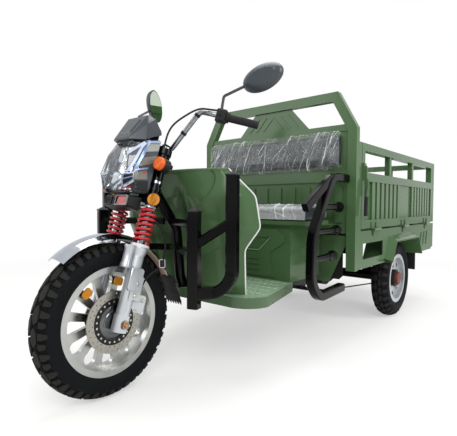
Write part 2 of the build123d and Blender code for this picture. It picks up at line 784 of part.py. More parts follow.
def seat_box():
    hollow = block((-seat_half + seat_wall, seat_half - seat_wall), (seat_front_y + seat_wall,
                                                                     seat_rear_y - seat_wall),
                   (foot_top + seat_wall, seat_top + 1))
    box = block((-seat_half, seat_half), (seat_front_y, seat_rear_y), (foot_top, seat_top - seat_wall))
    flange = block((-lid_half, lid_half), (seat_front_y - 20, seat_rear_y), (seat_top - seat_wall, seat_top))
    mouth = block((-seat_half + 30, seat_half - 30), (seat_front_y + 30, lid_rear_y - 20), (seat_top - 10,
                                                                                            seat_top + 1))
    box = box - hollow + flange - mouth + seat_front()
    for x in seat_hinges:
        for side in (-31, 31):
            box += Pos(0, seat_hinge_y, seat_hinge_z) * ring(hinge_radius, 0, x + side - 10, x + side + 10)
            box += block((x + side - 10, x + side + 10), (seat_hinge_y - 8, seat_hinge_y + 8),
                         (seat_top - 1, seat_hinge_z))
        box += Pos(0, seat_hinge_y, seat_hinge_z) * ring(pin_radius, 0, x - 30, x + 30)
    return box


seat_hinge_y = lid_rear_y + 12
seat_hinges = (-240, 240)


def seat_pan():
    low = seat_top + running_gap
    pan = block((-lid_half, lid_half), (seat_front_y - 24, lid_rear_y), (low, low + pan_thickness))
    for x in seat_hinges:
        pan += Pos(0, seat_hinge_y, seat_hinge_z) * ring(hinge_radius, 0, x - 20, x + 20)
        pan += block((x - 20, x + 20), (lid_rear_y - 1, seat_hinge_y), (seat_hinge_z - 6, seat_hinge_z + 6))
        pan -= Pos(0, seat_hinge_y, seat_hinge_z) * ring(pin_radius + running_gap, 0, x - 21, x + 21)
    return pan


def seat_cushion():
    low = seat_top + pan_thickness + 2 * running_gap
    pad = block((-lid_half + 6, lid_half - 6), (seat_front_y - 18, lid_rear_y - 4), (low,
                                                                                     low + cushion_height))
    return fillet(pad.edges().filter_by(Axis.Z) + pad.faces().sort_by(Axis.Z)[-1].edges(), 22)


def battery_pack():
    return block((-250, 250), (seat_front_y + 60, seat_rear_y - 60), (foot_top + seat_wall, foot_top + 225))


def backrest():
    back = sheet_y - running_gap
    half, high = box_half - backrest_inset, cross_low - backrest_drop
    pad = block((-half, half), (back - backrest_depth, back), (high - backrest_height, high))
    return fillet(pad.edges().filter_by(Axis.Y) + pad.faces().sort_by(Axis.Y)[0].edges(), 24)


# Seat guards: bent bar with an armrest and three cushioned pegs.
# Peg columns: height, front and rear end along the vehicle.
guard_route = [(1000, 905), (806, 620), (801, 400), (870, 316), (1136, 330)]
peg_table = [(754, 900, 1148), (631, 818, 1122), (500, 806, 1078)]


def seat_guards():
    hoop_front = hoop_y - wall_depth / 2
    route = [(guard_x, hoop_front - running_gap, guard_route[0][1])] + [(guard_x, y, z) for y,
                                                                        z in guard_route]
    guard = bent_bar(route, guard_side, guard_side, (1, 0, 0), 58)
    guard += bar((guard_x, 985, 897), (guard_x, 737, 750), guard_side, 30, (1, 0, 0))
    for height, front, rear in peg_table:
        guard += rod((guard_x - 8, front, height), (guard_x - 26, rear, height), 17)
        guard += Pos(guard_x - 26, rear, height) * Sphere(28)
    return pair(guard)


# Cargo box
wall_sheet = 6
sheet_y = hoop_y - 7
beam_low, beam_high = 889, 949
cross_low, cross_high = hoop_bend - 15, hoop_bend + 21


def headboard_frame():
    outer = Polyline((-box_half, hoop_foot), (-box_half, hoop_bend), (-hoop_top_half, hoop_top),
                     (hoop_top_half, hoop_top),
                     (box_half, hoop_bend), (box_half, hoop_foot), close=True)
    face = make_face(outer)
    inner = offset(face, amount=-hoop_tube, kind=Kind.INTERSECTION)
    inner += Pos(0, hoop_foot + hoop_tube) * Rectangle(2 * (box_half - hoop_tube), 4 * hoop_tube)
    front = hoop_y - wall_depth / 2
    frame = extrude(Plane(origin=(0, front + wall_depth, 0), x_dir=(1, 0, 0), z_dir=(0, -1,
                                                                                     0)) * (face - inner),
                    amount=wall_depth)
    reach = box_half - hoop_tube
    frame += block((-reach - 1, reach + 1), (front + 1, front + wall_depth - 1), (beam_low, beam_high))
    return frame + block((-reach - 1, reach + 1), (front + 5, front + wall_depth - 5), (cross_low,
                                                                                        cross_high))


def headboard_panel():
    # Pressed plate between the cross-bar and the top bar, with slanted ribs
    low, high = cross_high + running_gap, hoop_top - hoop_tube - running_gap
    wide, narrow, plate, rib = 245, 128, 5, 4
    facing = Plane(origin=(0, hoop_y, 0), x_dir=(1, 0, 0), z_dir=(0, -1, 0))
    panel = extrude(facing * make_face(Polyline((-wide, low), (wide, low), (narrow, high), (-narrow,
                                                                                            high),
                                                                                            close=True)),
                    amount=plate)
    lean = (wide - narrow) / (high - low)
    for start in (60, 112, 164):
        rise = 78
        stripe = Polyline((start, low + 22), (start + 16, low + 22), (start + 16 - lean * rise,
                                                                      low + 22 + rise),
                          (start - lean * rise, low + 22 + rise), close=True)
        stripe = extrude(facing * make_face(stripe), amount=plate + rib)
        panel += pair(stripe)
    return panel


def front_wall():
    # Lower sheet with upright pressed ribs, and the plain sheet behind the backrest
    reach, rib_depth, rib_half, ribs = box_half - hoop_tube - running_gap, 10, 22, 10
    wall = block((-reach, reach), (sheet_y, sheet_y + wall_sheet), (deck_top - deck_thickness,
                                                                    beam_low - running_gap))
    pitch = 2 * reach / ribs
    for number in range(ribs):
        x = -reach + (number + 0.5) * pitch
        wall += block((x - rib_half, x + rib_half), (sheet_y - rib_depth, sheet_y + 1), (deck_top + 40,
                                                                                         beam_low - 24))
    return wall + block((-reach, reach), (sheet_y, sheet_y + wall_sheet),
                        (beam_high + running_gap, cross_low - running_gap))


def cargo_floor():
    reach, front = box_half - hoop_tube - running_gap, sheet_y + wall_sheet + running_gap
    floor = block((-reach, reach), (front, gate_rear_y), (deck_top - deck_thickness, deck_top))
    bearer_half = box_half - wall_depth - running_gap
    for y in (gate_front_y + 43, gate_front_y + 323, wheelbase, wheelbase + 442, gate_rear_y - 43):
        floor += block((-bearer_half, bearer_half), (y - 20, y + 20), (rail_top,
                                                                       deck_top - deck_thickness + 1))
    return floor


# Wheel arch corners. Columns: along the vehicle, height.
arch_top = 536
arch_points = [(wheelbase - 374, skirt_low - 20), (wheelbase - 289, arch_top), (wheelbase + 182, arch_top),
               (wheelbase + 289, skirt_low - 20)]
arch_wall = 6


def side_skirts():
    front, rear = hoop_y + wall_depth / 2 + running_gap, gate_rear_y
    inside, rail_low, sill_high, sheet = box_half - wall_depth, skirt_high - 50, skirt_low + 40, 5
    along = Plane(origin=(0, 0, 0), x_dir=(0, 1, 0), z_dir=(1, 0, 0))
    skirt = block((inside, box_half), (front, rear), (skirt_low, skirt_high))
    skirt -= block((inside - 1, box_half - sheet), (front + 40, rear - 40), (sill_high, rail_low))
    skirt -= block((inside - 1, box_half + 1), (front + 70, arch_points[0][0] - 44), (sill_high + 10,
                                                                                      rail_low - 20))
    arch = make_face(Polyline(*arch_points, close=True))
    hood = offset(arch, amount=arch_wall, kind=Kind.INTERSECTION)
    width = (rear_wheel_x - rear_tyre_half - 4, box_half + arch_reach)
    skirt -= extrude(along.offset(inside - 1) * hood, amount=wall_depth + 2)
    shell = extrude(along.offset(width[0]) * (hood - arch), amount=width[1] - width[0])
    skirt += shell - block((0, box_half * 2), (0, rear), (0, skirt_low))
    skirt += block((inside, box_half), (front, gate_front_y - end_gap), (skirt_high - 1, gate_high))
    for number in range(3):
        rib_y = arch_points[-1][0] + 93 + 80 * number
        skirt += bar((box_half + 2, rib_y, sill_high + 10), (box_half + 2, rib_y + 36, rail_low - 10), 5,
                     14, (1, 0, 0))
    hinge_at = Pos(box_half, gate_front_y, 0)
    for y in hinge_places(gate_length):
        skirt += hinge_at * fixed_hinge(y)
    return pair(skirt)


def hinge_places(length):
    return [length * share for share in (0.13, 0.5, 0.87)]


def knuckle(start, end, radius):
    return rod((hinge_reach, start, gate_hinge_z), (hinge_reach, end, gate_hinge_z), radius)


def fixed_hinge(y):
    # Middle knuckle with its leaf below the hinge line, and the pin through all three knuckles
    leaf = block((0, 5), (y - 20, y + 20), (skirt_high - 34, skirt_high))
    web = block((0, hinge_reach), (y - 20, y + 20), (gate_hinge_z - 9, gate_hinge_z - 4))
    return leaf + web + knuckle(y - 20, y + 20, hinge_radius) + knuckle(y - 50, y + 50, pin_radius)


def gate_hinge(y):
    made = Part()
    for side in (-36, 36):
        made += block((0, 5), (y + side - 15, y + side + 15), (gate_low, gate_low + 34))
        made += block((0, hinge_reach), (y + side - 15, y + side + 15), (gate_hinge_z + 4, gate_hinge_z + 10))
        made += knuckle(y + side - 15, y + side + 15, hinge_radius)
    return made - knuckle(y - 52, y + 52, pin_radius + running_gap)


def gate(length, slat_groups):
    # Drop side: frame with an open upper rail, a sheet with upright slats, and hinge leaves.
    # Its outer face lies at X = 0 and its length runs along Y.
    post, sheet, sheet_x = 42, 5, -14
    sheet_low, window_high = gate_low + gate_sill, gate_high - gate_top_rail
    window_low = window_high - gate_window
    sheet_high = window_low - gate_rail
    rails = [(gate_low, sheet_low), (sheet_high, window_low), (window_high, gate_high)]
    frame = Part()
    for low, high in rails:
        frame += block((-wall_depth, 0), (0, length), (low, high))
    for y in (0, length - post):
        frame += block((-wall_depth, 0), (y, y + post), (gate_low, gate_high))
    for share in (0.32, 0.64):
        frame += block((-wall_depth + 5, -5), (length * share - 18, length * share + 18),
                       (window_low - 1, window_high + 1))
    for y in hinge_places(length):
        frame += gate_hinge(y)
    fill = (sheet_low + running_gap, sheet_high - running_gap)
    panel = block((sheet_x - sheet, sheet_x), (post + running_gap, length - post - running_gap), fill)
    for start, end, count in slat_groups:
        pitch = (end - start) * length / count
        for number in range(count):
            y = start * length + (number + 0.5) * pitch
            panel += block((sheet_x - 1, -3), (y - slat_share * pitch / 2, y + slat_share * pitch / 2), fill)
    return frame + panel


slat_share = 0.6
side_slats = [(0.1, 0.46, 7), (0.62, 0.95, 7)]
tail_slats = [(0.08, 0.42, 6), (0.58, 0.92, 6)]


def side_gate():
    latch = block((0, 10), (6, 34), (900, 990)) + rod((16, 20, 975), (16, 20, 900), 5) + rod((16, 20,
                                                                                              900), (16,
                                                                                                     20,
                                                                                                     812), 9)
    latch += block((9, 17), (14, 26), (960, 975))
    return Pos(box_half, gate_front_y, 0) * (gate(gate_length, side_slats) + latch)


def tailgate_place():
    return Pos(box_half, tail_y + wall_depth, 0) * Rot(0, 0, 90)


def tailgate():
    return tailgate_place() * gate(2 * box_half, tail_slats)


def rear_beam():
    front, rear = gate_rear_y + running_gap, tail_y + wall_depth
    beam = block((-box_half, box_half), (front, rear), (skirt_high - 50, skirt_high))
    beam += block((-box_half, box_half), (rear - 6, rear), (skirt_low + 14, skirt_high - 49))
    beam += pair(block((box_half - 40, box_half), (front, rear), (skirt_low + 14, skirt_high - 49)))
    for y in hinge_places(2 * box_half):
        beam += tailgate_place() * fixed_hinge(y)
    return beam


def tail_lamps():
    rear = tail_y + wall_depth
    lamp = block((box_half - 160, box_half - 30), (rear, rear + 20), (skirt_low + 43, skirt_low + 123))
    return pair(fillet(lamp.edges().filter_by(Axis.Y), 10))


def rear_mudflaps():
    # Rubber flaps hung behind the lower rear edge of the wheel arches
    (top_y, top_z), (low_y, low_z) = arch_points[2:]
    lean = (low_y - top_y) / (top_z - low_z)
    front = top_y + lean * (top_z - skirt_low) + arch_wall * hypot(1, lean) + running_gap
    return pair(block((rear_wheel_x - rear_tyre_half, rear_wheel_x + rear_tyre_half + 26),
                      (front, front + flap_wall), (skirt_low - 123, skirt_low)))


# Node names and the functions that make them
nodes = {
    "front_tyre": lambda: front_hub * tyre(front_tyre_radius, front_tyre_half, front_bead_radius,
                                           front_lip_radius),
    "front_rim": front_rim,
    "disc_carrier": disc_carrier,
    "brake_disc": brake_disc,
    "front_axle": front_axle,
    "fork_legs": fork_legs,
    "fork_tubes": fork_tubes,
    "fork_springs": fork_springs,
    "fork_clamps": fork_clamps,
    "handlebar": handlebar,
    "grips": grips,
    "switch_housings": switch_housings,
    "mirrors": mirrors,
    "mirror_glass": mirror_glass,
    "headlamp_housing": headlamp_housing,
    "headlamp_reflector": headlamp_reflector,
    "headlamp_lens": headlamp_lens,
    "visor_cowl": visor_cowl,
    "lower_cover": lower_cover,
    "lamp_ears": lamp_ears,
    "turn_lamps": turn_lamps,
    "side_reflectors": side_reflectors,
    "front_fender": front_fender,
    "front_mudflap": front_mudflap,
    "brake_caliper": brake_caliper,
    "control_cable": control_cable,
    "brake_hose": brake_hose,
    "leg_shield": leg_shield,
    "footboard": footboard,
    "front_guards": front_guards,
    "steering_neck": steering_neck,
    "chassis_frame": chassis_frame,
    "leaf_springs": leaf_springs,
    "rear_axle": rear_axle,
    "drive_motor": drive_motor,
    "brake_linkage": brake_linkage,
    "foot_pedal": foot_pedal,
    "seat_box": seat_box,
    "seat_pan": seat_pan,
    "seat_cushion": seat_cushion,
    "battery_pack": battery_pack,
    "backrest": backrest,
    "seat_guards": seat_guards,
    "headboard_frame": headboard_frame,
    "headboard_panel": headboard_panel,
    "front_wall": front_wall,
    "cargo_floor": cargo_floor,
    "side_skirts": side_skirts,
    "rear_beam": rear_beam,
    "tail_lamps": tail_lamps,
    "rear_mudflaps": rear_mudflaps,
    "tailgate": tailgate,
    "side_gate_left": side_gate,
    "side_gate_right": lambda: mirror(side_gate(), about=Plane.YZ),
    "rear_tyre_left": lambda: rear_hub_at * Pos(rear_wheel_x, 0, 0) * tyre(
        rear_tyre_radius, rear_tyre_half, rear_bead_radius, rear_lip_radius),
    "rear_rim_left": rear_rim,
    "rear_hub_left": rear_hub,
}
for piece in ("tyre", "rim", "hub"):
    left = nodes[f"rear_{piece}_left"]
    nodes[f"rear_{piece}_right"] = lambda left=left: mirror(left(), about=Plane.YZ)

os.makedirs("parts", exist_ok=True)
for name, make in nodes.items():
    export_step(Pos(0, -middle_y, 0) * make(), f"parts/{name}.step")
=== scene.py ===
import math
import bmesh
import bpy
import numpy as np
from mathutils import Matrix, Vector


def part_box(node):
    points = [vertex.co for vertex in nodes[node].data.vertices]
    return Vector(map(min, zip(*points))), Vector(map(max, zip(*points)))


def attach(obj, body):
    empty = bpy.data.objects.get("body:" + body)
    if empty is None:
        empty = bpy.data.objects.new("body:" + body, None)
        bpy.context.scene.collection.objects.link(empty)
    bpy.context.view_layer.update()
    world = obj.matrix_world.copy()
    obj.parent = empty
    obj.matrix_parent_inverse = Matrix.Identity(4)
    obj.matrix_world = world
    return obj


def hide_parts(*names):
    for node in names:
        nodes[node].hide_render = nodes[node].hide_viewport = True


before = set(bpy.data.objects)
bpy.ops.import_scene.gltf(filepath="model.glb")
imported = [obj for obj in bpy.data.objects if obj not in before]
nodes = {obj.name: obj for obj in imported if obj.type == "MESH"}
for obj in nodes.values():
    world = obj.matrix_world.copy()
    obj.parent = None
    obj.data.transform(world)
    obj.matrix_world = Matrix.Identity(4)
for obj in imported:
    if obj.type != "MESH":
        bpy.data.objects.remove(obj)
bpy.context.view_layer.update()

print("frame loaded with", len(nodes), "nodes")

mm = 0.001
axleY = -1245.5           # the front axle along Y, in millimetres
rake = math.radians(18.3)
frontHub = 305            # height of the front axle
rearHub = 262
rearY = 2018              # the rear axle behind the front one
rearX = 445               # the rear wheels' middle planes from the middle
legX = 95                 # the fork legs from the middle
forkUp = (0, math.sin(rake), math.cos(rake))
forkBack = (0, math.cos(rake), -math.sin(rake))
weldReach = 1e-6          # metres within which points of a piece are one
sharpEdge = math.radians(32)


# Shapes

def toFrame(points):
    # millimetres with the front axle at Y = 0 become metres in the shared frame
    return (np.asarray(points, float) + (0, axleY, 0)) * mm


def onFork(points):
    # fork frame: x across, y rearwards, z up the fork from the axle; it is turned back by the rake
    p = np.asarray(points, float)
    c, s = math.cos(rake), math.sin(rake)
    return np.stack([p[..., 0], p[..., 1] * c + p[..., 2] * s, frontHub + p[..., 2] * c - p[..., 1] * s], -1)


def mirrored(surface):
    # the same shape on the other side: x changes sign and the faces turn round to point outwards
    points, faces = surface
    return points * (-1, 1, 1), [f[:, ::-1] for f in faces]


def joined(surfaces):
    # several shapes in one: their points in a row, their faces moved on by the points before them
    counts = np.cumsum([0] + [len(s[0]) for s in surfaces])
    faces = [f + n for s, n in zip(surfaces, counts) for f in s[1]]
    return np.concatenate([s[0] for s in surfaces]), faces


def bothSides(*surfaces):
    # shapes of the left side together with their mirror images
    return joined([*surfaces, *[mirrored(s) for s in surfaces]])


def gridFaces(rows, cols, wrapRows=False, wrapCols=False):
    # four-sided faces of a grid of rows by cols points, closed along either way on request
    i, j = np.meshgrid(np.arange(rows - (not wrapRows)), np.arange(cols - (not wrapCols)), indexing="ij")
    a, b = i * cols + j, i * cols + (j + 1) % cols
    k = (i + 1) % rows * cols
    return np.stack([a, b, k + (j + 1) % cols, k + j], -1).reshape(-1, 4)


def gridSurface(points, wrapRows=False, wrapCols=False, capRows=False):
    # a rows by cols by 3 array of points as a surface; capRows closes the first and last row
    rows, cols = points.shape[:2]
    faces = [gridFaces(rows, cols, wrapRows, wrapCols)]
    if capRows:
        faces += [np.arange(cols)[None, ::-1], (np.arange(cols) + (rows - 1) * cols)[None]]
    return points.reshape(-1, 3), faces


def stackFaces(loops, sides, count, stride):
    # four-sided faces between neighbouring loops of one shape, repeated for count shapes of stride points
    i = np.arange(sides)
    j = (i + 1) % sides
    faces = [np.stack([i, j, j + sides, i + sides], -1) + k * sides for k in range(loops - 1)]
    return (np.concatenate(faces) + (np.arange(count) * stride)[:, None, None]).reshape(-1, 4)


def wayAlong(points):
    # the way along a line from its first point to each of its points
    return np.concatenate([[0], np.cumsum(np.linalg.norm(np.diff(points, axis=0), axis=1))])


def unit(vectors):
    # directions of length 1
    return vectors / np.linalg.norm(vectors, axis=-1, keepdims=True)


def axes(along):
    # three square directions whose last one is along
    w = unit(along)
    u = unit(np.cross((0, 0, 1) if abs(w[2]) < 0.9 else (0, 1, 0), w))
    return np.stack([u, np.cross(w, u), w])


def turned(profile, centre, along, steps=32, closed=False):
    # a profile of (radius, distance along) pairs spun once round the axis
    profile = np.asarray(profile, float)
    t = np.arange(steps) * 2 * np.pi / steps
    u, v, w = axes(along)
    ring = np.cos(t)[:, None] * u + np.sin(t)[:, None] * v
    points = profile[:, None, :1] * ring + profile[:, None, 1:] * w + np.asarray(centre, float)
    return gridSurface(points, closed, True, not closed)


def swept(profile, path, up=(0, 0, 1)):
    # a profile of (side, up) pairs carried along a path, square to it, with its up side kept near up
    path, profile = np.asarray(path, float), np.asarray(profile, float)
    along = unit(np.gradient(path, axis=0))
    side = unit(np.cross(along, up))
    rise = np.cross(side, along)
    points = path[:, None] + profile[:, :1] * side[:, None] + profile[:, 1:] * rise[:, None]
    return gridSurface(points, False, True, True)


def circle(radius, steps=12):
    # points of a circle, in order
    t = np.arange(steps) * 2 * np.pi / steps
    return np.stack([np.cos(t), np.sin(t)], -1) * radius


def chamfered(width, height, cut):
    # a rectangle with cut corners, in order round its middle
    a, b = width / 2, height / 2
    return np.array([(a, cut - b), (a, b - cut), (a - cut, b), (cut - a, b),
                     (-a, b - cut), (-a, cut - b), (cut - a, -b), (a - cut, -b)])


def inset(outline, distance):
    # an outline moved inwards: each point goes along the middle of its two edges' normals
    ahead = unit(np.roll(outline, -1, 0) - outline)
    normal = np.stack([-ahead[:, 1], ahead[:, 0]], -1)
    middle = normal + np.roll(normal, 1, 0)
    return outline + middle * (distance * 2 / np.maximum((middle ** 2).sum(1), 0.6))[:, None]


def layered(layers, origin, directions):
    # outlines of (side, up) pairs, each at its height, laid out along three directions from an origin
    u, v, w = np.asarray(directions, float)
    return np.stack([o[:, :1] * u + o[:, 1:] * v + h * w for o, h in layers]) + np.asarray(origin, float)


def slab(outline, thickness, cut, origin, facing):
    # an outline given a thickness, with its front and back edges cut; facing is one direction or all three
    outline, facing = np.asarray(outline, float), np.asarray(facing, float)
    inner = inset(outline, cut)
    layers = [(inner, 0), (outline, cut), (outline, thickness - cut), (inner, thickness)]
    return gridSurface(layered(layers, origin, axes(facing) if facing.ndim == 1 else facing), False, True, True)


def boltHead(centre, along, across, height):
    # a six-sided head with its top edge cut, standing on a round washer
    thick, bore, rim = 1.2, across * 0.3, across * 0.8
    washer = turned([(bore, 0), (rim, 0), (rim, thick), (bore, thick)], centre, along, 16)
    return joined([washer, slab(circle(across * 0.56, 6), height, 0.8, centre + thick * axes(along)[2], along)])


def smoothPath(points, steps):
    # points joined by a smooth line: cubic pieces through each point with slopes from its neighbours
    p = np.asarray(points, float)
    p = np.concatenate([[2 * p[0] - p[1]], p, [2 * p[-1] - p[-2]]])
    t = np.linspace(0, len(p) - 3 - 1e-9, steps)
    i, f = np.floor(t).astype(int), (t % 1)[:, None]
    a, b, c, d = p[i], p[i + 1], p[i + 2], p[i + 3]
    return 0.5 * (2 * b + (c - a) * f + (2 * a - 5 * b + 4 * c - d) * f ** 2 + (3 * b - a - 3 * c + d) * f ** 3)


def readPoints(mesh):
    # a mesh's vertices as rows of x, y and z
    points = np.empty(len(mesh.vertices) * 3)
    mesh.vertices.foreach_get("co", points)
    return points.reshape(-1, 3)


def addObject(name, data):
    # a new object at the origin, in the scene
    thing = bpy.data.objects.new(name, data)
    bpy.context.scene.collection.objects.link(thing)
    return thing


def setPlace(holder, directions, place):
    # turns a lamp or camera to three directions and puts it in its place
    holder.matrix_world = Matrix([*np.column_stack([*directions, place]).tolist(), (0, 0, 0, 1)])


def addPiece(name, surface, finishName, body, replaced=None, flat=False):
    # puts a surface into a mesh in the shared frame, gives it its finish and lets it move with its body
    points, faces = surface
    mesh = bpy.data.meshes.new(name)
    mesh.from_pydata(toFrame(points), [], [row for f in faces for row in f.tolist()])
    shell = bmesh.new()
    shell.from_mesh(mesh)
    bmesh.ops.remove_doubles(shell, verts=shell.verts, dist=weldReach)
    bmesh.ops.recalc_face_normals(shell, faces=shell.faces)
    shell.to_mesh(mesh)
    shell.free()
    mesh.polygons.foreach_set("use_smooth", np.full(len(mesh.polygons), not flat))
    mesh.materials.append(finishes[finishName])
    piece = addObject(name, mesh)
    if not flat:
        mesh.set_sharp_from_angle(angle=sharpEdge)
    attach(piece, body)
    if replaced:
        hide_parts(replaced)
    return piece


# Finishes

def linear(hexColour):
    # sRGB hex to linear light
    c = np.array([int(hexColour[i:i + 2], 16) for i in (1, 3, 5)]) / 255
    c = np.where(c <= 0.04045, c / 12.92, ((c + 0.055) / 1.055) ** 2.4)
    return (*c.tolist(), 1.0)


def addNode(tree, kind, settings=None, links=None):
    # one node: settings go to its properties or its input sockets, links come from other sockets
    node = tree.nodes.new("ShaderNode" + kind)
    for key, value in (settings or {}).items():
        if isinstance(key, str) and hasattr(node, key):
            setattr(node, key, value)
        else:
            node.inputs[key].default_value = value
    for key, source in (links or {}).items():
        tree.links.new(source, node.inputs[key])
    return node


def newMaterial(name, **sockets):
    # a material with its node tree and its shader, whose sockets are set
    material = bpy.data.materials.new(name)
    material.use_nodes = True
    shader = material.node_tree.nodes["Principled BSDF"]
    for key, value in sockets.items():
        shader.inputs[key.replace("_", " ")].default_value = value
    return material, material.node_tree, shader


def finish(name, light, dark, patch, grain, bump, rough, **sockets):
    # A surface whose colour drifts between two tones over patches, whose gloss varies with them, and whose
    # skin has a fine grain. patch and grain are in millimetres; rough is the lowest and highest roughness.
    material, tree, shader = newMaterial(name, **sockets)
    place = addNode(tree, "TexCoord").outputs["Object"]
    drift = addNode(tree, "TexNoise", {"Scale": 1000 / patch, "Detail": 4.0}, {"Vector": place}).outputs["Fac"]
    tones = addNode(tree, "Mix", {"data_type": "RGBA", 6: linear(dark), 7: linear(light)}, {0: drift})
    gloss = addNode(tree, "MapRange",
                    {"From Min": 0.3, "From Max": 0.7, "To Min": rough[0], "To Max": rough[1]}, {"Value": drift})
    fine = addNode(tree, "TexNoise", {"Scale": 1000 / grain, "Detail": 2.0}, {"Vector": place}).outputs["Fac"]
    skin = addNode(tree, "Bump", {"Strength": bump, "Distance": grain * mm * 0.3}, {"Height": fine})
    tree.links.new(tones.outputs[2], shader.inputs["Base Color"])
    tree.links.new(gloss.outputs["Result"], shader.inputs["Roughness"])
    tree.links.new(skin.outputs["Normal"], shader.inputs["Normal"])
    return material


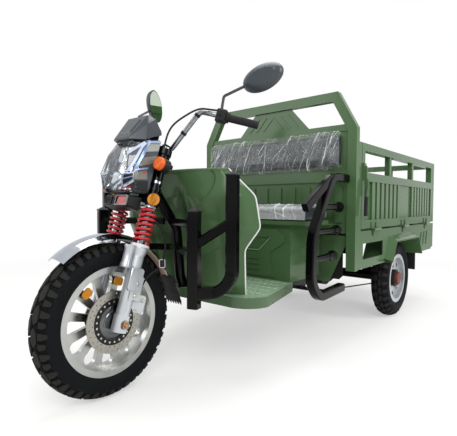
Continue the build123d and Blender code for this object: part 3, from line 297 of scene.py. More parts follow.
# Columns: light tone, dark tone, patch mm, grain mm, bump, roughness low and high, then shader sockets.
finishes = {
    # stoved enamel on pressed sheet: deep gloss with a little orange peel, drawn coarser than life
    "oliveEnamel": finish("olive enamel, glossy", "#4a6543", "#3d5537", 420, 14, 0.035, (0.1, 0.2), IOR=1.27),
    # black enamel on steel tube: near black, mirror-like, with faint dust
    "blackEnamel": finish("black enamel on tube, glossy", "#070708", "#030304", 160, 10, 0.03, (0.06, 0.18), IOR=1.22),
    # carbon-black tyre rubber: matt with a greyish bloom
    "tyreRubber": finish("tyre rubber, vulcanised", "#0b0d10", "#060709", 60, 2.2, 0.25, (0.6, 0.8), IOR=1.2),
    # the tread's running faces: scuffed paler by the road
    "treadRubber": finish("tyre rubber, scuffed", "#242321", "#151514", 40, 2.2, 0.3, (0.6, 0.8), IOR=1.25),
    # cast wheel alloy, machined and lacquered: pale and softly bright
    "wheelAlloy": finish("cast alloy, machined and lacquered", "#b9bab8", "#949593", 60, 4, 0.05, (0.24, 0.38),
                         Metallic=1.0),
    # silver paint over a sanded casting: fine metallic flake
    "silverPaint": finish("silver paint on casting", "#c2c6ca", "#adb1b6", 70, 1.6, 0.05, (0.28, 0.42), Metallic=0.75),
    # decorative chrome plate: mirror with a faint ripple of the sheet below
    "chromePlate": finish("chrome plate, polished", "#e4e6e8", "#d6d8db", 200, 40, 0.03, (0.03, 0.09), Metallic=1.0),
    # chrome on bent tube: greyer, with soft dark streaks, both painted dark reflections
    "barChrome": finish("chrome plate, painted dark reflections", "#a3a8ac", "#5d6266", 26, 12, 0.05, (0.12, 0.25), Metallic=1.0),
    # ground steel: grey metal with a satin sheen
    "groundSteel": finish("steel, ground", "#a5a29b", "#87847d", 30, 1.5, 0.08, (0.26, 0.42), Metallic=1.0),
    # powder coat on spring wire: glossy red, slightly pebbled
    "redCoat": finish("red powder coat", "#c01a24", "#a01018", 40, 3, 0.05, (0.2, 0.32), Coat_Weight=0.25, IOR=1.5),
    # moulded ABS, black: low gloss with a fine spark-eroded grain
    "blackPlastic": finish("ABS, black moulded", "#131315", "#0b0b0c", 80, 1.6, 0.1, (0.32, 0.48), IOR=1.32),
    # moulded ABS, dark grey with a satin face
    "greyPlastic": finish("ABS, dark grey moulded", "#3c4248", "#2b3036", 90, 2, 0.06, (0.24, 0.38), IOR=1.4),
    # moulded black rubber: matt, a little dusty
    "blackRubber": finish("rubber, moulded", "#161617", "#0d0d0e", 50, 2.4, 0.2, (0.58, 0.78), IOR=1.35),
    # amber and red acrylic: bright, glossy, light from inside the lens
    "amberAcrylic": finish("acrylic, amber", "#dd640d", "#bb4705", 12, 4, 0.4, (0.1, 0.18), IOR=1.4),
    "redAcrylic": finish("acrylic, red", "#b30f12", "#86080b", 24, 5, 0.12, (0.08, 0.16), IOR=1.49, Coat_Weight=0.4),
    # silvered mirror with a green glass tint
    "mirrorSilver": finish("silvered glass", "#c9d6c6", "#bccbb8", 300, 60, 0.01, (0.01, 0.03), Metallic=1.0),
    # iron casting under black paint on the rear hubs; on the drive motor this black is painted shade under the cargo
    # bed
    "blackCastingAndShade": finish("cast iron black, also painted shade on the motor", "#1a1a1b", "#0f0f10", 50, 3, 0.18, (0.4, 0.6), IOR=1.35),
    # rust-red primer on the wheel caps
    "rustPrimer": finish("red oxide primer", "#692b1c", "#4f1f13", 18, 2, 0.12, (0.45, 0.62), IOR=1.5),
    # battery case
    "caseBlack": finish("polypropylene, black", "#202124", "#17181a", 60, 3, 0.1, (0.4, 0.55), IOR=1.49),
    # vinyl cover under the film: dark grey
    "seatVinyl": finish("vinyl, embossed", "#34393b", "#272b2d", 45, 2.6, 0.25, (0.35, 0.5), IOR=1.4),
    # soft white edging strip
    "whiteTrim": finish("PVC edging, white", "#d8d9d6", "#c6c8c4", 60, 4, 0.05, (0.3, 0.45), IOR=1.5),
    # the same enamel on the tread plate, made paler as a painted sky reflection and highlight
    "highlightEnamel": finish("olive enamel, painted highlight", "#7d977a", "#6c866a", 60, 8, 0.06, (0.2, 0.32), IOR=1.45),
    # tread plate: the enamel a little duller and greyer; its upward faces get a paler painted sky reflection below
    "plateEnamel": finish("olive enamel, painted sky reflection", "#486043", "#3b5237", 110, 9, 0.06, (0.22, 0.34), IOR=1.4),
    # fender: the chrome plate again, with a brown painted reflection of the ground on its part behind the fork
    "fenderChrome": finish("chrome plate, painted ground reflection", "#c3c8ce", "#9aa0a8", 90, 40, 0.03, (0.05, 0.14), Metallic=1.0),
    # lacquered ABS bezels of the lamp: silver-white, and a bluish metallised one
    "bezelWhite": finish("ABS, silver-white lacquer", "#b9c3d6", "#a4afc6", 60, 2, 0.03, (0.25, 0.38), IOR=1.45),
    "bezelSteel": finish("ABS, metallised", "#8494b2", "#6d7d9c", 60, 2, 0.03, (0.25, 0.38), Metallic=0.4),
    # lamp's inlays: light grey, warm grey and smoked
    "panelGrey": finish("ABS, light grey moulded", "#8d928b", "#7c817a", 50, 1.8, 0.08, (0.28, 0.4), IOR=1.53),
    "panelWarm": finish("ABS, warm grey moulded", "#6b6760", "#57534d", 50, 1.8, 0.08, (0.28, 0.4), IOR=1.53),
    "smokedAcrylic": finish("acrylic, smoked", "#5b6068", "#3a3d43", 30, 6, 0.05, (0.05, 0.12), IOR=1.49,
                            Coat_Weight=0.4),
    # hub dome: chrome over dark nickel
    "darkChrome": finish("black chrome, polished", "#6d6e70", "#4c4d50", 60, 12, 0.03, (0.1, 0.2), Metallic=1.0),
    # yellow-passivated zinc on the axle nuts
    "yellowZinc": finish("zinc, yellow passivated", "#b08a68", "#8a6244", 9, 1.2, 0.08, (0.25, 0.4), Metallic=1.0),
    # pressed amber reflectors: prisms behind a smooth face
    "amberReflector": finish("acrylic, amber reflex", "#c8850d", "#9a5c06", 7, 4, 0.4, (0.25, 0.35), IOR=1.3),
    # zinc-plated fixings with a faint yellow tone
    "zincPlate": finish("zinc plate", "#c8c6bd", "#a9a69b", 12, 1.2, 0.08, (0.28, 0.42), Metallic=1.0),
}
# clear polycarbonate lens: bends light a little and keeps sharp highlights
finishes["clearLens"] = finish("polycarbonate, clear", "#f4f7f8", "#eef2f4", 120, 40, 0.02, (0.02, 0.06),
                               IOR=1.45, Transmission_Weight=1.0)


def paintedReflection(material, colour, facing, low, high):
    # a painted reflection laid over a finish as a second tone, growing from low to high along one way of its place or
    # its facing
    tree = material.node_tree
    base = tree.nodes["Principled BSDF"].inputs["Base Color"]
    kind, output, axis = ("NewGeometry", "Normal", "Z") if facing else ("TexCoord", "Object", "Y")
    source = addNode(tree, kind).outputs[output]
    way = addNode(tree, "SeparateXYZ", {}, {0: source}).outputs[axis]
    share = addNode(tree, "MapRange", {"From Min": low, "From Max": high}, {"Value": way})
    both = addNode(tree, "Mix", {"data_type": "RGBA", 7: linear(colour)},
                   {0: share.outputs["Result"], 6: base.links[0].from_socket})
    tree.links.new(both.outputs[2], base)


# painted reflections: a paler sky tone on the tread plate's upward faces, a brown ground tone on the fender's rear
paintedReflection(finishes["plateEnamel"], "#7a927a", True, 0.6, 0.95)
paintedReflection(finishes["fenderChrome"], "#6a5c4e", False, -1.17, -1.08)

nodeFinish = {
    "plateEnamel": "footboard",
    "oliveEnamel": "leg_shield seat_box seat_pan headboard_frame headboard_panel front_wall cargo_floor side_skirts "
                   "rear_beam tailgate side_gate_left side_gate_right",
    "blackEnamel": "front_guards steering_neck chassis_frame leaf_springs rear_axle brake_linkage foot_pedal "
                   "seat_guards fork_clamps lamp_ears",
    "tyreRubber": "front_tyre rear_tyre_left rear_tyre_right",
    "wheelAlloy": "front_rim",
    "silverPaint": "fork_legs rear_rim_left rear_rim_right brake_caliper",
    "chromePlate": "headlamp_reflector",
    "fenderChrome": "front_fender",
    "barChrome": "fork_tubes handlebar",
    "groundSteel": "brake_disc front_axle",
    "redCoat": "fork_springs",
    "blackPlastic": "switch_housings lower_cover disc_carrier",
    "greyPlastic": "mirrors headlamp_housing visor_cowl",
    "clearLens": "headlamp_lens",
    "amberAcrylic": "turn_lamps",
    "amberReflector": "side_reflectors",
    "redAcrylic": "tail_lamps",
    "mirrorSilver": "mirror_glass",
    "blackRubber": "grips front_mudflap rear_mudflaps control_cable brake_hose",
    "seatVinyl": "seat_cushion backrest",
    "caseBlack": "battery_pack",
    # the drive motor takes this black as painted shade
    "blackCastingAndShade": "rear_hub_left rear_hub_right drive_motor",
}
for finishName, names in nodeFinish.items():
    for name in names.split():
        if name in nodes:
            nodes[name].data.materials.clear()
            nodes[name].data.materials.append(finishes[finishName])
print("finishes set:", len(finishes))


# Stage, light and camera

stageSizes = {"rings": (0.5, 1, 2, 4, 8, 16, 28, 40), "down": -0.0005, "near": 1.6, "far": 4.5, "shadow": 0.45,
              "dim": 0.62}
# a round floor, flat, in rings that widen outwards
stageProfile = [(radius, 0) for radius in stageSizes["rings"]]
stagePoints, stageFaces = turned(stageProfile, (0, 0, stageSizes["down"]), (0, 0, 1), 64)
stageMesh = bpy.data.meshes.new("studio_floor")
stageMesh.from_pydata(stagePoints, [], [row for f in stageFaces[:2] for row in f.tolist()])
studioFloor = addObject("studio_floor", stageMesh)
# white painted studio floor: matt to the lamps; to the camera and through glass it fades to plain white away
# from the object, and keeps a soft shadow near it
floorPaint, floorTree, floorShader = newMaterial("studio floor, matt white", Base_Color=linear("#f4f4f2"),
                                                 Roughness=0.9, Specular_IOR_Level=0.1)
floorPlace = addNode(floorTree, "TexCoord").outputs["Object"]
floorWay = addNode(floorTree, "VectorMath", {"operation": "LENGTH"}, {0: floorPlace})
floorFade = addNode(floorTree, "MapRange",
                    {"From Min": stageSizes["near"], "From Max": stageSizes["far"], "To Min": stageSizes["shadow"],
                     "To Max": 1.0}, {"Value": floorWay.outputs["Value"]})
floorRays = addNode(floorTree, "LightPath").outputs
floorSeen = addNode(floorTree, "Math", {"operation": "MAXIMUM"},
                    {0: floorRays["Is Camera Ray"], 1: floorRays["Is Transmission Ray"]})
floorShare = addNode(floorTree, "Math", {"operation": "MULTIPLY"},
                     {0: floorFade.outputs["Result"], 1: floorSeen.outputs[0]})
floorGlow = addNode(floorTree, "Emission", {"Color": (1.0, 1.0, 1.0, 1.0), "Strength": 1.0})
floorMix = addNode(floorTree, "MixShader", {},
                   {0: floorShare.outputs[0], 1: floorShader.outputs[0], 2: floorGlow.outputs[0]})
floorTree.links.new(floorMix.outputs[0], floorTree.nodes["Material Output"].inputs["Surface"])
stageMesh.materials.append(floorPaint)

# white surroundings: full to the camera, in reflections and through glass, dimmer as light on matt surfaces
world = bpy.data.worlds.new("studio")
bpy.context.scene.world = world
world.use_nodes = True
worldTree = world.node_tree
background = worldTree.nodes["Background"]
rays = addNode(worldTree, "LightPath").outputs
seen = rays["Is Camera Ray"]
for ray in ("Is Glossy Ray", "Is Transmission Ray"):
    seen = addNode(worldTree, "Math", {"operation": "MAXIMUM"}, {0: seen, 1: rays[ray]}).outputs[0]
level = addNode(worldTree, "MapRange", {"To Min": stageSizes["dim"], "To Max": 1.0}, {"Value": seen})
background.inputs["Color"].default_value = (1.0, 1.0, 1.0, 1.0)
worldTree.links.new(level.outputs["Result"], background.inputs["Strength"])

# Columns: place, aim, size across and up, power.
lamps = {
    "key_softbox": ((3.2, -3.4, 3.6), (0, -0.4, 0.6), (2.6, 2.0), 130),
    "left_strip": ((3.6, 1.2, 2.2), (0, 0.3, 0.6), (1.0, 2.6), 60),
    "front_fill": ((-2.4, -3.8, 2.0), (0, -1.0, 0.6), (2.0, 1.6), 45),
    "top_bank": ((0, 0.4, 4.4), (0, 0.2, 0.5), (3.2, 3.6), 110),
}
for name, (place, aim, size, power) in lamps.items():
    lamp = bpy.data.lights.new(name, "AREA")
    lamp.shape, lamp.size, lamp.size_y, lamp.energy = "RECTANGLE", size[0], size[1], power
    setPlace(addObject(name, lamp), axes(np.subtract(place, aim)), place)

# The photograph's own view: place in metres, turn, tilt and roll in degrees, the rest in pixels of the photograph
# apart from the sensor's width in millimetres
viewpoint = {"place": (1.3839, -2.1686, 0.7616), "turn": -41.4, "tilt": -2.3, "roll": 0.2, "focal": 406.7,
             "width": 457, "height": 436, "middle": (213.3, 221.4), "sensor": 36.0}
camera = bpy.data.cameras.new("camera")
camera.sensor_width = viewpoint["sensor"]
camera.lens = viewpoint["focal"] / viewpoint["width"] * viewpoint["sensor"]
camera.shift_x = (viewpoint["width"] / 2 - viewpoint["middle"][0]) / viewpoint["width"]
camera.shift_y = (viewpoint["middle"][1] - viewpoint["height"] / 2) / viewpoint["width"]
turn, tilt, roll = (math.radians(viewpoint[k]) for k in ("turn", "tilt", "roll"))
look = np.array([math.sin(turn) * math.cos(tilt), math.cos(turn) * math.cos(tilt), math.sin(tilt)])
right = np.array([math.cos(turn), -math.sin(turn), 0])
rise = np.cross(right, look)
cameraHolder = addObject("camera", camera)
setPlace(cameraHolder, (math.cos(roll) * right + math.sin(roll) * rise,
                        math.cos(roll) * rise - math.sin(roll) * right, -look), viewpoint["place"])
bpy.context.scene.camera = cameraHolder
bpy.context.scene.view_settings.view_transform = "Standard"
print("stage, light and camera set")

# Tyres. Rows of blocks: outline as (across, round) pairs, how many round the tyre, shift in pitches.
tyreSizes = {
    "half": 55, "bead": 46, "shoulderIn": 13, "shoulderDrop": 14, "steps": 144, "crown": 70, "fade": 14,
    # rows of wall ribs: way from the bead, half width, height
    "ribs": ((12, 2.2, 1.2), (34, 1.6, 0.8)), "ribTop": 0.4,
    "front": {"radius": frontHub, "lip": 216, "groove": 9, "blocks": [
        ([(2, -14), (15, -37), (30, -22), (31, 14), (18, 37), (3, 22)], 24, 0),
        ([(35, -15), (50, -17), (72, -12), (72, 4), (50, 9), (35, 11)], 24, 0.1),
        ([(35, -13), (50, -14), (64, -10), (64, 6), (50, 9), (35, 11)], 24, 0.6)]},
    "rear": {"radius": rearHub, "lip": 166, "groove": 8, "blocks": [
        ([(2, -12), (13, -26), (24, -14), (24, 14), (13, 26), (2, 12)], 28, 0),
        ([(28, -16), (46, -18), (70, -14), (70, 6), (46, 8), (28, 10)], 28, 0)]},
}


def arcThrough(a, b, c, steps):
    # points of the circle through three points, from the first to the last
    (ax, ay), (bx, by), (cx, cy) = a, b, c
    d = 2 * (ax * (by - cy) + bx * (cy - ay) + cx * (ay - by))
    ux = ((ax ** 2 + ay ** 2) * (by - cy) + (bx ** 2 + by ** 2) * (cy - ay) + (cx ** 2 + cy ** 2) * (ay - by)) / d
    uy = ((ax ** 2 + ay ** 2) * (cx - bx) + (bx ** 2 + by ** 2) * (ax - cx) + (cx ** 2 + cy ** 2) * (bx - ax)) / d
    t = np.unwrap(np.arctan2([ay - uy, by - uy, cy - uy], [ax - ux, bx - ux, cx - ux]))
    t = np.linspace(t[0], t[2], steps)
    r = np.hypot(ax - ux, ay - uy)
    return np.stack([ux + r * np.cos(t), uy + r * np.sin(t)], -1)


def tyreProfile(size):
    # half section from the crown's middle over the shoulder to the bead, as (across, radius) pairs
    radius, lip = size["radius"], size["lip"]
    crown = (tyreSizes["half"] - tyreSizes["shoulderIn"], radius - tyreSizes["shoulderDrop"])
    top = arcThrough((-crown[0], crown[1]), (0, radius), crown, 41)[20:]
    wall = arcThrough(crown, (tyreSizes["half"], (radius + lip) / 2), (tyreSizes["bead"], lip + 0.4), 40)
    return np.concatenate([top, wall[1:]])


def onTyre(size, across, around, lift):
    # a point of the tyre's skin: across is the way from the crown's middle along the section, around the way
    # round the crown, lift the height over the skin along its normal
    half = tyreProfile(size)
    way = wayAlong(half)
    slope = np.gradient(half, way, axis=0)
    u = np.abs(across)
    x, r = np.interp(u, way, half[:, 0]), np.interp(u, way, half[:, 1])
    nx, nr = -np.interp(u, way, slope[:, 1]), np.interp(u, way, slope[:, 0])
    x, r = (x + lift * nx) * np.sign(across + 1e-9), r + lift * nr
    t = np.asarray(around) / size["radius"]
    return np.stack(np.broadcast_arrays(x, r * np.sin(t), r * np.cos(t)), -1) + size["centre"]


def treadBlocks(size, outline, count, shift, flip):
    # rubber blocks round the tyre: one outline repeated, standing on the groove floor, its top edge rounded off;
    # the far half's blocks are half a pitch further on
    outline = np.asarray(outline, float) * (flip, 1)
    middle = outline.mean(0)
    around = (np.arange(count) + shift + 0.5 * (flip < 0)) * 2 * np.pi * size["radius"] / count
    rings = []
    for grow, lift in ((1.0, -size["groove"] - 2), (0.98, -1.2), (0.9, 0)):
        ring = middle + (outline - middle) * grow
        rings.append(onTyre(size, ring[None, :, 0], ring[None, :, 1] + around[:, None], lift))
    cap = onTyre(size, middle[0], around + middle[1], 0.0)[:, None]
    k = len(outline)
    fan = np.stack([np.arange(k), (np.arange(k) + 1) % k, np.full(k, k)], -1) + 2 * k
    fans = (fan + (np.arange(count) * (3 * k + 1))[:, None, None]).reshape(-1, 3)
    faces = [stackFaces(3, k, count, 3 * k + 1), fans]
    return np.concatenate([*rings, cap], 1).reshape(-1, 3), faces if flip > 0 else [f[:, ::-1] for f in faces]


def tyreCarcass(size):
    # the whole section carried once round: sunk to the groove floor over the crown, ribbed on the walls
    length = wayAlong(tyreProfile(size))[-1]
    across = np.concatenate([-np.linspace(length, 0, 46)[:-1], np.linspace(0, length, 46)])
    u = np.abs(across)
    lift = -size["groove"] * np.clip((tyreSizes["crown"] - u) / tyreSizes["fade"], 0, 1)
    for back, width, height in tyreSizes["ribs"]:
        lift = lift + height * np.exp(-((u - length + back) / width) ** 2)
    around = np.arange(tyreSizes["steps"]) * 2 * np.pi * size["radius"] / tyreSizes["steps"]
    points = onTyre(size, across[:, None], around[None], np.minimum(lift, tyreSizes["ribTop"])[:, None])
    return gridSurface(points, True, True)


for end, x, y, ending in (("front", 0, 0, ""), ("rear", rearX, rearY, "_left"), ("rear", -rearX, rearY, "_right")):
    size = dict(tyreSizes[end], centre=(x, y, tyreSizes[end]["radius"]))
    body = f"{end}_wheel{ending}"
    addPiece(f"{end}_tyre_tread{ending}", tyreCarcass(size), "tyreRubber", body, f"{end}_tyre{ending}")
    tread = [treadBlocks(size, *row, flip) for row in size["blocks"] for flip in (1, -1)]
    addPiece(f"{end}_tyre_blocks{ending}", joined(tread), "treadRubber", body)
print("tyres made")

# Fork springs
springSizes = {"radius": 31, "wire": 5.4, "low": 319.5, "high": 456.6, "turns": 7, "steps": 36}
coilTurn = np.linspace(0, springSizes["turns"], springSizes["turns"] * springSizes["steps"] + 1) * 2 * np.pi
coil = np.stack([legX + springSizes["radius"] * np.cos(coilTurn), springSizes["radius"] * np.sin(coilTurn),
                 np.linspace(springSizes["low"], springSizes["high"], len(coilTurn))], -1)
addPiece("spring_coils", bothSides(swept(circle(springSizes["wire"], 10), onFork(coil), forkUp)), "redCoat", "steering",
         "fork_springs")
print("springs made")

# Seat cushion and backrest: foam in a vinyl cover, under the clear film they are delivered in
padSizes = {
    # metres, and shares of the solid's thickness and width
    "weld": 0.0004, "voxel": 0.006, "hold": 0.004, "swell": 0.012, "thin": 0.86, "narrow": 0.985,
    "pressure": 4.0, "frames": 20, "fill": 0.75,
    # columns: source node, body, axis of the fixed face and its end of the box
    "pads": {"seat_pad": ("seat_cushion", "seat_lid", 2, 0), "back_pad": ("backrest", "chassis", 1, 1)},
}


def shownMesh(thing):
    # an object's mesh with its modifiers worked out
    return bpy.data.meshes.new_from_object(thing.evaluated_get(bpy.context.evaluated_depsgraph_get()))


def stuffed(name, node, body, axis, end):
    # the CAD solid a little smaller, remeshed evenly, blown up by cloth pressure and kept from moving far
    box = np.array(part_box(node))
    anchor = box.mean(0)
    anchor[axis] = box[end, axis]
    copy = nodes[node].data.copy()
    shrink = np.where(np.arange(3) == axis, padSizes["thin"], padSizes["narrow"])
    copy.vertices.foreach_set("co", (anchor + (readPoints(copy) - anchor) * shrink).ravel())
    pad = addObject(name, copy)
    pad.modifiers.new("weld", "WELD").merge_threshold = padSizes["weld"]
    voxels = pad.modifiers.new("voxels", "REMESH")
    voxels.mode, voxels.voxel_size = "VOXEL", padSizes["voxel"]
    mesh = shownMesh(pad)
    pad.modifiers.clear()
    pad.data = mesh
    points = readPoints(mesh)
    held = pad.vertex_groups.new(name="held")
    held.add(np.nonzero(np.abs(points[:, axis] - anchor[axis]) < padSizes["hold"])[0].tolist(), 1.0, "REPLACE")
    cloth = pad.modifiers.new("cloth", "CLOTH")
    cloth.settings.use_pressure = True
    cloth.settings.uniform_pressure_force = padSizes["pressure"]
    cloth.settings.effector_weights.gravity = 0.0
    cloth.settings.vertex_group_mass = "held"
    cloth.settings.quality = 4
    cloth.collision_settings.use_self_collision = False
    for step in range(padSizes["frames"]):
        bpy.context.scene.frame_set(step + 1)
    move = readPoints(shownMesh(pad)) - points
    far = np.linalg.norm(move, axis=1, keepdims=True)
    points = points + move * np.minimum(1, padSizes["swell"] / np.maximum(far, 1e-9))
    bpy.context.scene.frame_set(1)
    pad.modifiers.clear()
    pad.vertex_groups.clear()
    mesh.vertices.foreach_set("co", points.ravel())
    mesh.polygons.foreach_set("use_smooth", np.ones(len(mesh.polygons), bool))
    mesh.materials.clear()
    mesh.materials.append(finishes["seatVinyl"])
    pad.modifiers.new("smooth", "SMOOTH").iterations = 6
    finer = pad.modifiers.new("finer", "SUBSURF")
    finer.levels = finer.render_levels = 1
    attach(pad, body)
    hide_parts(node)


for padName, row in padSizes["pads"].items():
    stuffed(padName, *row)

# clear polyethylene film: thin, colourless, whitish where it bunches, with sharp highlights on its creases; the fold
# crests are whitened as a painted highlight
film, filmTree, filmShader = newMaterial("polyethylene film, clear", Base_Color=linear("#e6eaec"), IOR=1.5,
                                         Coat_Weight=0.5)
finishes["clearFilm"] = film
filmPlace = addNode(filmTree, "TexCoord").outputs["Object"]
# creases too small to model: the pattern is 26 mm wide with finer ones in it
filmCrease = addNode(filmTree, "TexNoise", {"Scale": 1000 / 26, "Detail": 5.0, "Distortion": 1.6},
                     {"Vector": filmPlace}).outputs["Fac"]
filmSkin = addNode(filmTree, "Bump", {"Strength": 0.3, "Distance": 0.003}, {"Height": filmCrease})
filmHaze = addNode(filmTree, "MapRange",
                   {"From Min": 0.4, "From Max": 0.75, "To Min": 0.05, "To Max": 0.17}, {"Value": filmCrease})
# painted highlight: the folds' crests are whiter, and each point of the sheet carries its share
filmCrestHighlight = addNode(filmTree, "Attribute", {"attribute_name": "crest"})
filmClear = addNode(filmTree, "Math", {"operation": "ADD", "use_clamp": True},
                    {0: filmHaze.outputs["Result"], 1: filmCrestHighlight.outputs["Fac"]})
filmGloss = addNode(filmTree, "MapRange",
                    {"From Min": 0.3, "From Max": 0.7, "To Min": 0.08, "To Max": 0.22}, {"Value": filmCrease})
filmTree.links.new(filmSkin.outputs["Normal"], filmShader.inputs["Normal"])
filmTree.links.new(filmClear.outputs["Value"], filmShader.inputs["Alpha"])
filmTree.links.new(filmGloss.outputs["Result"], filmShader.inputs["Roughness"])

# Columns of folds: how many, height and half width in millimetres, lean and its spread as shares of a half turn
filmSizes = {
    "seat_film": {"half": 421, "corner": 26, "section": [(1066, 700), (1066, 757), (834, 757), (830, 690)],
                  "body": "seat_lid", "rests": "seat_pad", "folds": (120, 4.6, 5, 0.1, 0.25), "haze": 0.3, "stand": 6,
                  "seed": 5},
    "back_film": {"half": 452, "corner": 26, "section": [(1180, 1146), (1130, 1146), (1130, 969), (1180, 969)],
                  "body": "chassis", "rests": "back_pad", "folds": (150, 5.4, 4.2, 0.14, 0.07), "haze": 0.0, "stand": 8,
                  "seed": 11},
}


def filmSurface(spec):
    # a section line with rounded corners carried across the seat, raised by many short crossing folds: each is a
    # ridge that falls off to both sides and towards its ends
    corners = np.array(spec["section"], float)
    inside = [a + (b - a) * t for a, b in zip(corners, corners[1:]) for t in (0.2, 0.5, 0.8)]
    line = smoothPath([corners[0], *inside, corners[-1]], 110)
    way = wayAlong(line)
    u, v = np.meshgrid(np.linspace(-1, 1, 420) * spec["half"], way)
    rng = np.random.default_rng(spec["seed"])
    count, height, width, lean, spread = spec["folds"]
    at = np.stack([rng.uniform(-1, 1, count) * spec["half"], rng.uniform(0, way[-1], count)], -1)
    turn = rng.normal(lean, spread, count) * np.pi
    reach = rng.uniform(25, 110, count)
    high, wide = height * rng.uniform(0.3, 1, count), width * rng.uniform(0.5, 1.2, count)
    du, dv = u[..., None] - at[:, 0], v[..., None] - at[:, 1]
    off, along = du * np.cos(turn) + dv * np.sin(turn), dv * np.cos(turn) - du * np.sin(turn)
    rise = (high * np.exp(-(off / wide) ** 2 - (along / reach) ** 2)).sum(-1) + spec["stand"]
    # the painted highlight on the crest is narrower than its fold
    crest = (high / height * np.exp(-(off / wide / 0.55) ** 2 - (along / reach) ** 2)).sum(-1)
    crest = np.clip(crest, 0, 1) ** 2 * 0.75 + spec["haze"]
    slope = np.gradient(line, way, axis=0)
    out = np.stack([slope[:, 1], -slope[:, 0]], -1)
    out *= np.sign(((line - corners.mean(0)) * out).sum(1, keepdims=True))
    near = np.clip((spec["half"] - np.abs(u)) / spec["corner"], 0, 1)
    rise = rise - spec["corner"] * 0.5 * (1 - np.sqrt(1 - (1 - near) ** 2))
    points = np.stack([u, line[:, None, 0] + out[:, None, 0] * rise, line[:, None, 1] + out[:, None, 1] * rise], -1)
    across = np.linalg.norm(np.diff(points, axis=1), axis=2).sum(1).mean()
    down = np.linalg.norm(np.diff(points, axis=0), axis=2).sum(0).mean()
    return gridSurface(points), crest, (across * mm, down * mm)


for filmName, spec in filmSizes.items():
    surface, crest, cut = filmSurface(spec)
    piece = addPiece(filmName, surface, "clearFilm", spec["body"])
    piece.data.attributes.new("crest", "FLOAT", "POINT").data.foreach_set("value", crest.ravel())
print("cushions and film made")

# Headlamp: side panels, bezels and grille on the housing and lens, fluted reflector, frames of the lower cover
lampSizes = {
    "front": -104, "rear": -44, "frontHalf": 106, "rearHalf": 118, "overLens": 3,
    # lens rows: height, half width behind, half width in front, front
    "lens": np.array([(500, 98, 46, -140), (560, 102, 60, -165), (640, 102, 58, -155), (710, 96, 52, -131)], float),
    # rows of side panels: finish, lift, corners as (back, height) pairs on the lamp's side
    "panels": [
        ("bezelWhite", 5, [(-149, 640), (-150, 652), (-107, 712), (-104, 703)]),
        ("bezelWhite", 5, [(-103, 706), (-108, 712), (-144, 570), (-133, 576)]),
        ("smokedAcrylic", 3, [(-149, 641), (-110, 698), (-144, 578)]),
        ("bezelSteel", 6, [(-98, 722), (-90, 718), (-114, 592), (-124, 588)]),
        ("bezelSteel", 5, [(-102, 716), (-46, 738), (-46, 728), (-98, 706)]),
        ("panelGrey", 3, [(-92, 708), (-46, 726), (-46, 694), (-97, 670)]),
        ("panelWarm", 3, [(-102, 644), (-48, 674), (-54, 636), (-112, 602)]),
        ("bezelSteel", 5, [(-123, 580), (-121, 589), (-72, 614), (-72, 606)]),
        ("panelWarm", 3, [(-118, 576), (-74, 602), (-62, 566), (-114, 546)]),
        ("redAcrylic", 4, [(-91, 588), (-77, 596), (-76, 590), (-90, 582)]),
        ("bezelSteel", 3, [(-152, 558), (-119, 580), (-114, 545), (-135, 512)]),
        ("blackPlastic", 4.5, [(-148, 555), (-122, 572), (-120, 562), (-145, 543)]),
        ("blackPlastic", 4.5, [(-144, 538), (-120, 557), (-118, 547), (-135, 519)]),
        ("blackPlastic", 3, [(-128, 508), (-110, 540), (-58, 562), (-50, 520)]),
        ("redAcrylic", 4, [(-134, 508), (-114, 520), (-113, 514), (-132, 503)]),
    ],
}


def lampSide(back, height, lift):
    # the lamp's left side: the housing's straight flare, then the lens's facets, each lifted outwards
    rows = lampSizes["lens"]
    start, flare = lampSizes["front"], lampSizes["rearHalf"] - lampSizes["frontHalf"]
    wide, narrow, front = (np.interp(height, rows[:, 0], rows[:, k]) for k in (1, 2, 3))
    housing = lampSizes["frontHalf"] + flare * (back - start) / (lampSizes["rear"] - start)
    lens = wide + (narrow - wide) * (back - start) / (front - start)
    out = np.where(back > start, housing, np.minimum(lens + lampSizes["overLens"], housing))
    return np.stack(np.broadcast_arrays(out + lift, back, height), -1)


def sidePatch(corners, lift):
    # a panel on the lamp's side: its outline in small steps, in rings that shrink to its middle, edge rounded
    corners = np.asarray(corners, float)
    share = np.linspace(0, 1, 8, endpoint=False)[None, :, None]
    outline = (corners[:, None] * (1 - share) + np.roll(corners, -1, 0)[:, None] * share).reshape(-1, 2)
    middle = outline.mean(0)
    rings = []
    for size, height in ((1.0, -4), (1.0, lift - 1.2), (0.95, lift), (0.6, lift), (0.25, lift), (0.02, lift)):
        ring = middle + (outline - middle) * size
        rings.append(lampSide(ring[:, 0], ring[:, 1], height))
    return gridSurface(onFork(np.stack(rings)), False, True, True)


for finishName in dict.fromkeys(row[0] for row in lampSizes["panels"]):
    patches = [sidePatch(corners, lift) for key, lift, corners in lampSizes["panels"] if key == finishName]
    addPiece(f"lamp_{finishName}", bothSides(*patches), finishName, "steering")

# fluted reflector: waves across, leaning rows up, sunk round the two bulbs
fluteSizes = {"half": 92, "low": 512, "high": 704, "front": -106, "wave": 4, "waves": 3, "lean": 0.05,
              "bulbs": (566, 656), "sink": 20, "bulbHalf": (46, 34)}
fluteX, fluteS = np.meshgrid(np.linspace(-1, 1, 120) * fluteSizes["half"],
                             np.linspace(fluteSizes["low"], fluteSizes["high"], 60))
fluteWave = np.abs(np.sin(fluteX / fluteSizes["half"] * np.pi * fluteSizes["waves"]))
fluteY = fluteSizes["front"] + fluteSizes["wave"] * fluteWave + fluteSizes["lean"] * (fluteS - fluteSizes["low"])
for bulbS in fluteSizes["bulbs"]:
    bulbX, bulbUp = fluteX / fluteSizes["bulbHalf"][0], (fluteS - bulbS) / fluteSizes["bulbHalf"][1]
    fluteY += fluteSizes["sink"] * np.exp(-(bulbX ** 2 + bulbUp ** 2) ** 2)
flutes = gridSurface(onFork(np.stack([fluteX, fluteY, fluteS], -1)))
addPiece("lamp_flutes", flutes, "chromePlate", "steering")

